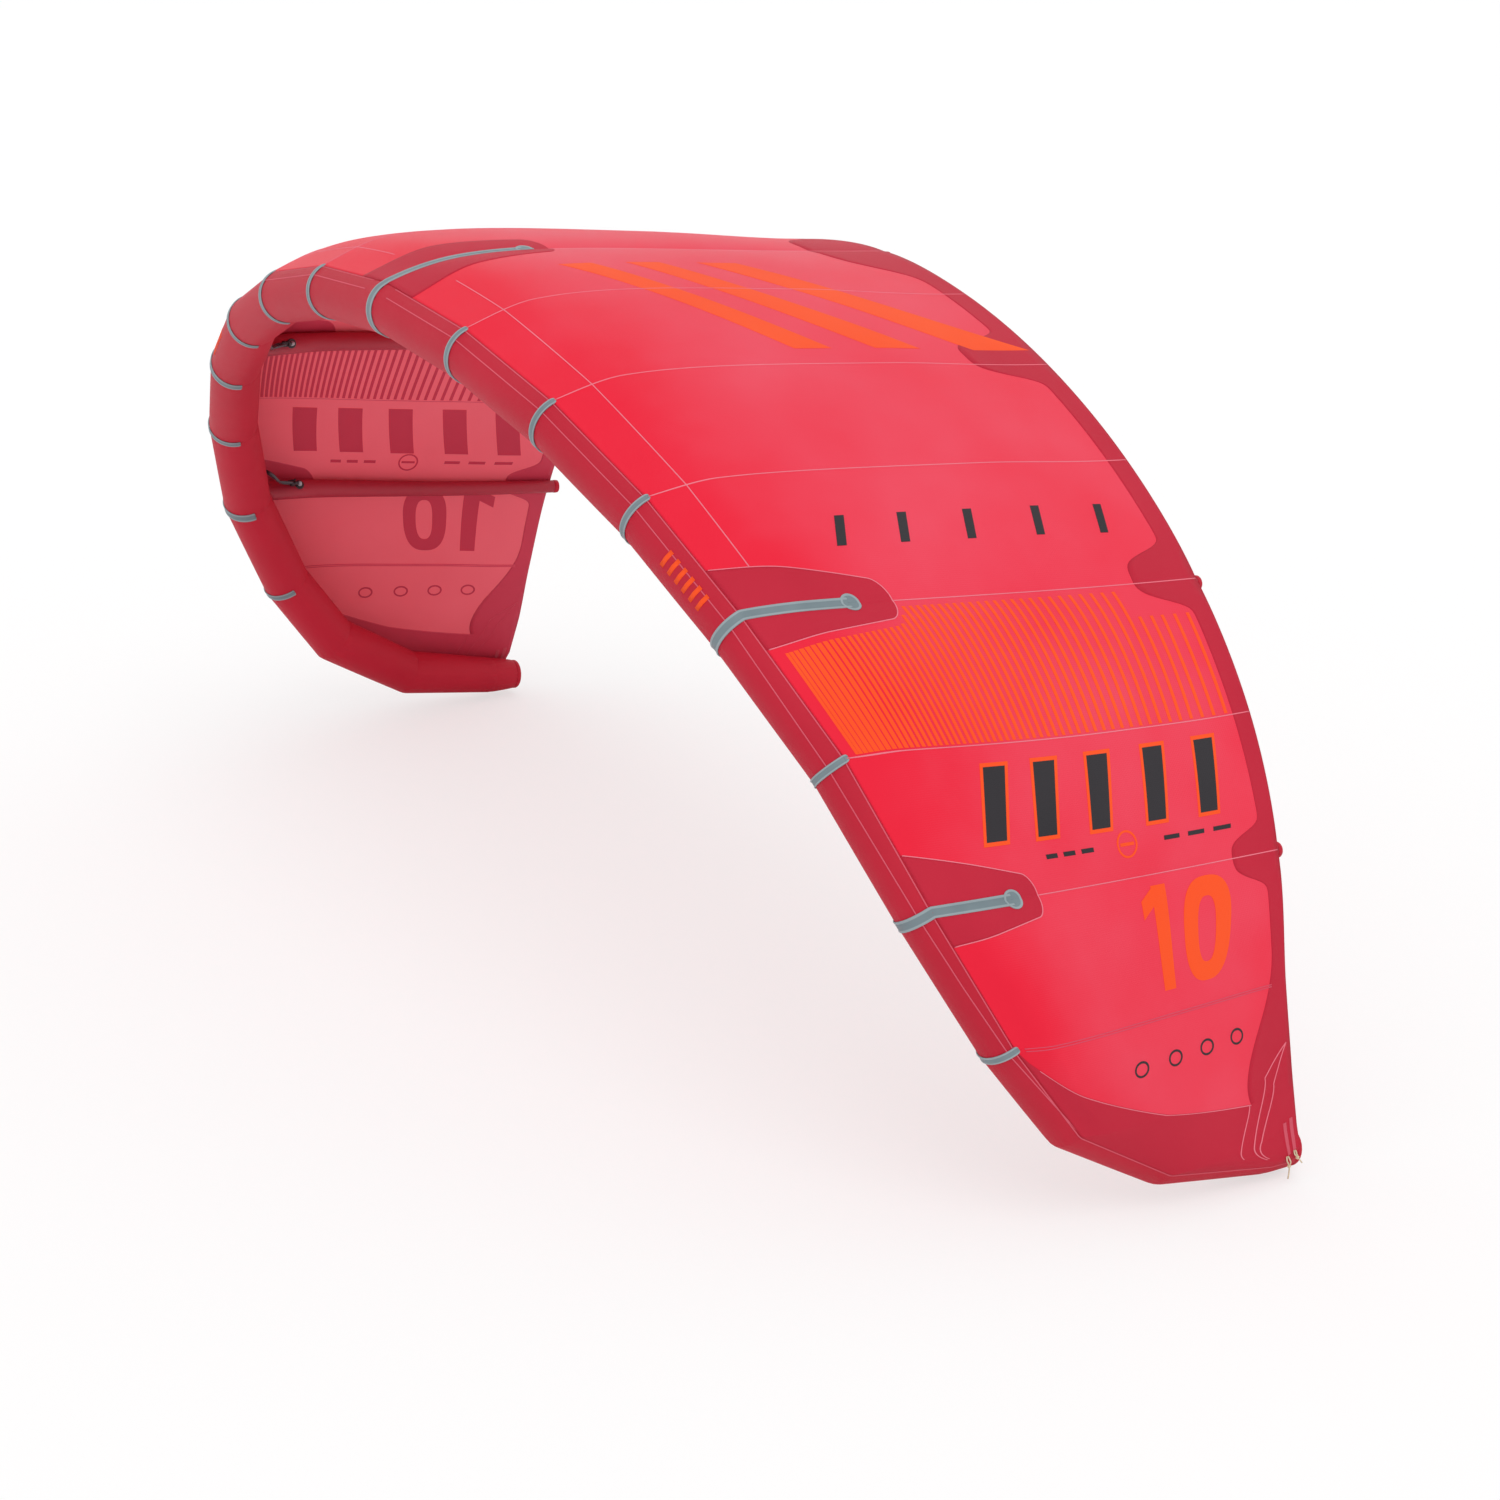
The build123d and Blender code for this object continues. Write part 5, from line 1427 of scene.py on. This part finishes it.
# %% Strands and knots of the tip lines
LINE_RADIUS = 0.002
KNOT_DROP, KNOT_POINTS = 0.0085, 28
KNOT_PROFILE = np.array([[2.0, -3.6], [3.6, -3.2], [5.0, -2.1], [5.5, -1.0], [5.0, -0.1], [5.4, 0.8],
                         [5.1, 2.0], [3.7, 3.1], [2.0, 3.5]]) / 1000
strand_routes = {
    "front": [(0, 2.2, 0), (1.5, 6.5, -9), (1.4, 11.5, -18), (1.3, 9.5, -27)],
    "rear": [(0, 2.2, 0), (1, 5.5, -7), (1.6, 6.5, -13), (1.75, 9.7, -17.7)],
}
for name in line_routes:
    start = np.array(line_starts[name])
    route = start + np.array(line_routes[name]) / 1000
    strand = rounded_route(start + np.array(strand_routes[name]) / 1000)
    fall = unit(route[3] - route[2])
    middle = route[2] + fall * KNOT_DROP
    rings = turned(KNOT_PROFILE, middle, fall, [1.0, 0, 0], KNOT_POINTS)
    twist = 1 + 0.09 * np.sin(3 * full_turn(KNOT_POINTS) + np.arange(len(KNOT_PROFILE))[:, None] * 0.9)
    rings = middle + (rings - middle) * twist[..., None]
    for side, side_name in ((1, "right"), (-1, "left")):
        tube = circle_rings(on_side(strand, side), LINE_RADIUS, np.array([1.0, 0, 0]), 16)
        knot = build(f"{side_name}_{name}_line_knot", [solid_rings(on_side(rings, side)), solid_rings(tube)],
                     [beige_cord], ["tip_line_strands", "tip_line_knots"])
        report(knot)

# %% [markdown]
# ## Small parts kept from the solids
# The clip levers, the inflation valve and the leash loop are moulded to size in the frame
# already. They keep their shape here and get moulded plastic, rubber and webbing. The bladders
# inside the tubes are thin film.

# %% Finishes on the kept solids
levers = [name + "_clip_lever" for name in ("centre", "right_inner", "left_inner", "right_outer", "left_outer")]
bladders = [name + "_bladder" for name in ("leading_edge", "centre_strut", "inner_struts", "outer_struts")]
kept = {black_plastic: ["valve_lock_ring"] + levers,
        grey_plastic: ["inflation_valve_body", "valve_cap"],
        hose_rubber: ["valve_check_flap"],
        loop_webbing: ["pump_leash_loop"],
        film: bladders}
for finish, names in kept.items():
    for name in names:
        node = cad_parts[name]
        node.data.materials.clear()
        node.data.materials.append(finish)
print(sum(len(names) for names in kept.values()), "solids keep their shape")

# %% [markdown]
# ## The tip lines
# Each tip line curve gets the braided cord's finish and rides on the kite, in place of the
# tip line of the solids.

# %% Finish of the tip lines
for (side_name, name), (curve, path) in line_curves.items():
    curve.data.materials.append(beige_cord)
    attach(curve, "kite")
    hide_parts(f"{side_name}_{name}_tip_line")
print("one sheet and", len(line_curves), "cords declared")

# %% [markdown]
# ## Floor and light
# A wide pale floor lies just under the wing tips. The world is an even white sky, and one broad
# soft lamp from the front right gives the arch its shading. Seen directly, floor and sky are
# white, and the floor keeps the soft shadow.

# %% Floor, sky and lamp
FLOOR_GAP = 0.012  # under the lowest point of the kite
FLOOR_HALF = 60.0
FLOOR_GLOW = 0.6  # share of plain white that the camera sees in the floor
SKY = 0.84  # light of the sky; seen directly it is white
SUN_ENERGY, SUN_SPREAD, SUN_PLACE = 0.7, math.radians(35), (72, 52)
floor_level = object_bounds()[0][2] - FLOOR_GAP
corners = np.array([[-1, -1], [1, -1], [1, 1], [-1, 1]]) * FLOOR_HALF
floor_mesh = bpy.data.meshes.new("floor")
floor_mesh.from_pydata(np.column_stack([corners, np.full(4, floor_level)]).tolist(), [], [[0, 1, 2, 3]])
floor = bpy.data.objects.new("floor", floor_mesh)
bpy.context.scene.collection.objects.link(floor)
floor_finish, tree, shader = new_material("pale_floor", 0.9, Specular_IOR_Level=0.1)
path_node = tree.nodes.new("ShaderNodeLightPath")
seen = math_node(tree, "MAXIMUM", path_node.outputs["Is Camera Ray"], path_node.outputs["Is Glossy Ray"])
tint(tree, shader, colour(244, 244, 245), colour(255, 255, 255), seen)
glow = tree.nodes.new("ShaderNodeEmission")
glow.inputs["Color"].default_value = (1, 1, 1, 1)
blend = tree.nodes.new("ShaderNodeMixShader")
tree.links.new(math_node(tree, "MULTIPLY", path_node.outputs["Is Camera Ray"], FLOOR_GLOW), blend.inputs[0])
tree.links.new(shader.outputs[0], blend.inputs[1])
tree.links.new(glow.outputs[0], blend.inputs[2])
tree.links.new(blend.outputs[0], tree.nodes["Material Output"].inputs["Surface"])
floor_mesh.materials.append(floor_finish)

scene = bpy.context.scene
scene.view_settings.view_transform = "Standard"
world = bpy.data.worlds.new("sky")
scene.world = world
world.use_nodes = True
sky_tree = world.node_tree
sky = sky_tree.nodes["Background"]
sky.inputs["Color"].default_value = (1, 1, 1, 1)
light_path = sky_tree.nodes.new("ShaderNodeLightPath")
direct = math_node(sky_tree, "MAXIMUM", light_path.outputs["Is Camera Ray"],
                   light_path.outputs["Is Glossy Ray"])
direct = math_node(sky_tree, "MAXIMUM", direct, light_path.outputs["Is Transmission Ray"])
strength = math_node(sky_tree, "ADD", math_node(sky_tree, "MULTIPLY", direct, 1 - SKY), SKY)
sky_tree.links.new(strength, sky.inputs["Strength"])

lamp_data = bpy.data.lights.new("soft_lamp", "SUN")
lamp_data.energy = SUN_ENERGY
lamp_data.angle = SUN_SPREAD
lamp = bpy.data.objects.new("soft_lamp", lamp_data)
scene.collection.objects.link(lamp)
lamp.rotation_euler = from_angles(*SUN_PLACE).to_track_quat("Z", "Y").to_euler()
print("floor at", round(floor_level, 4))
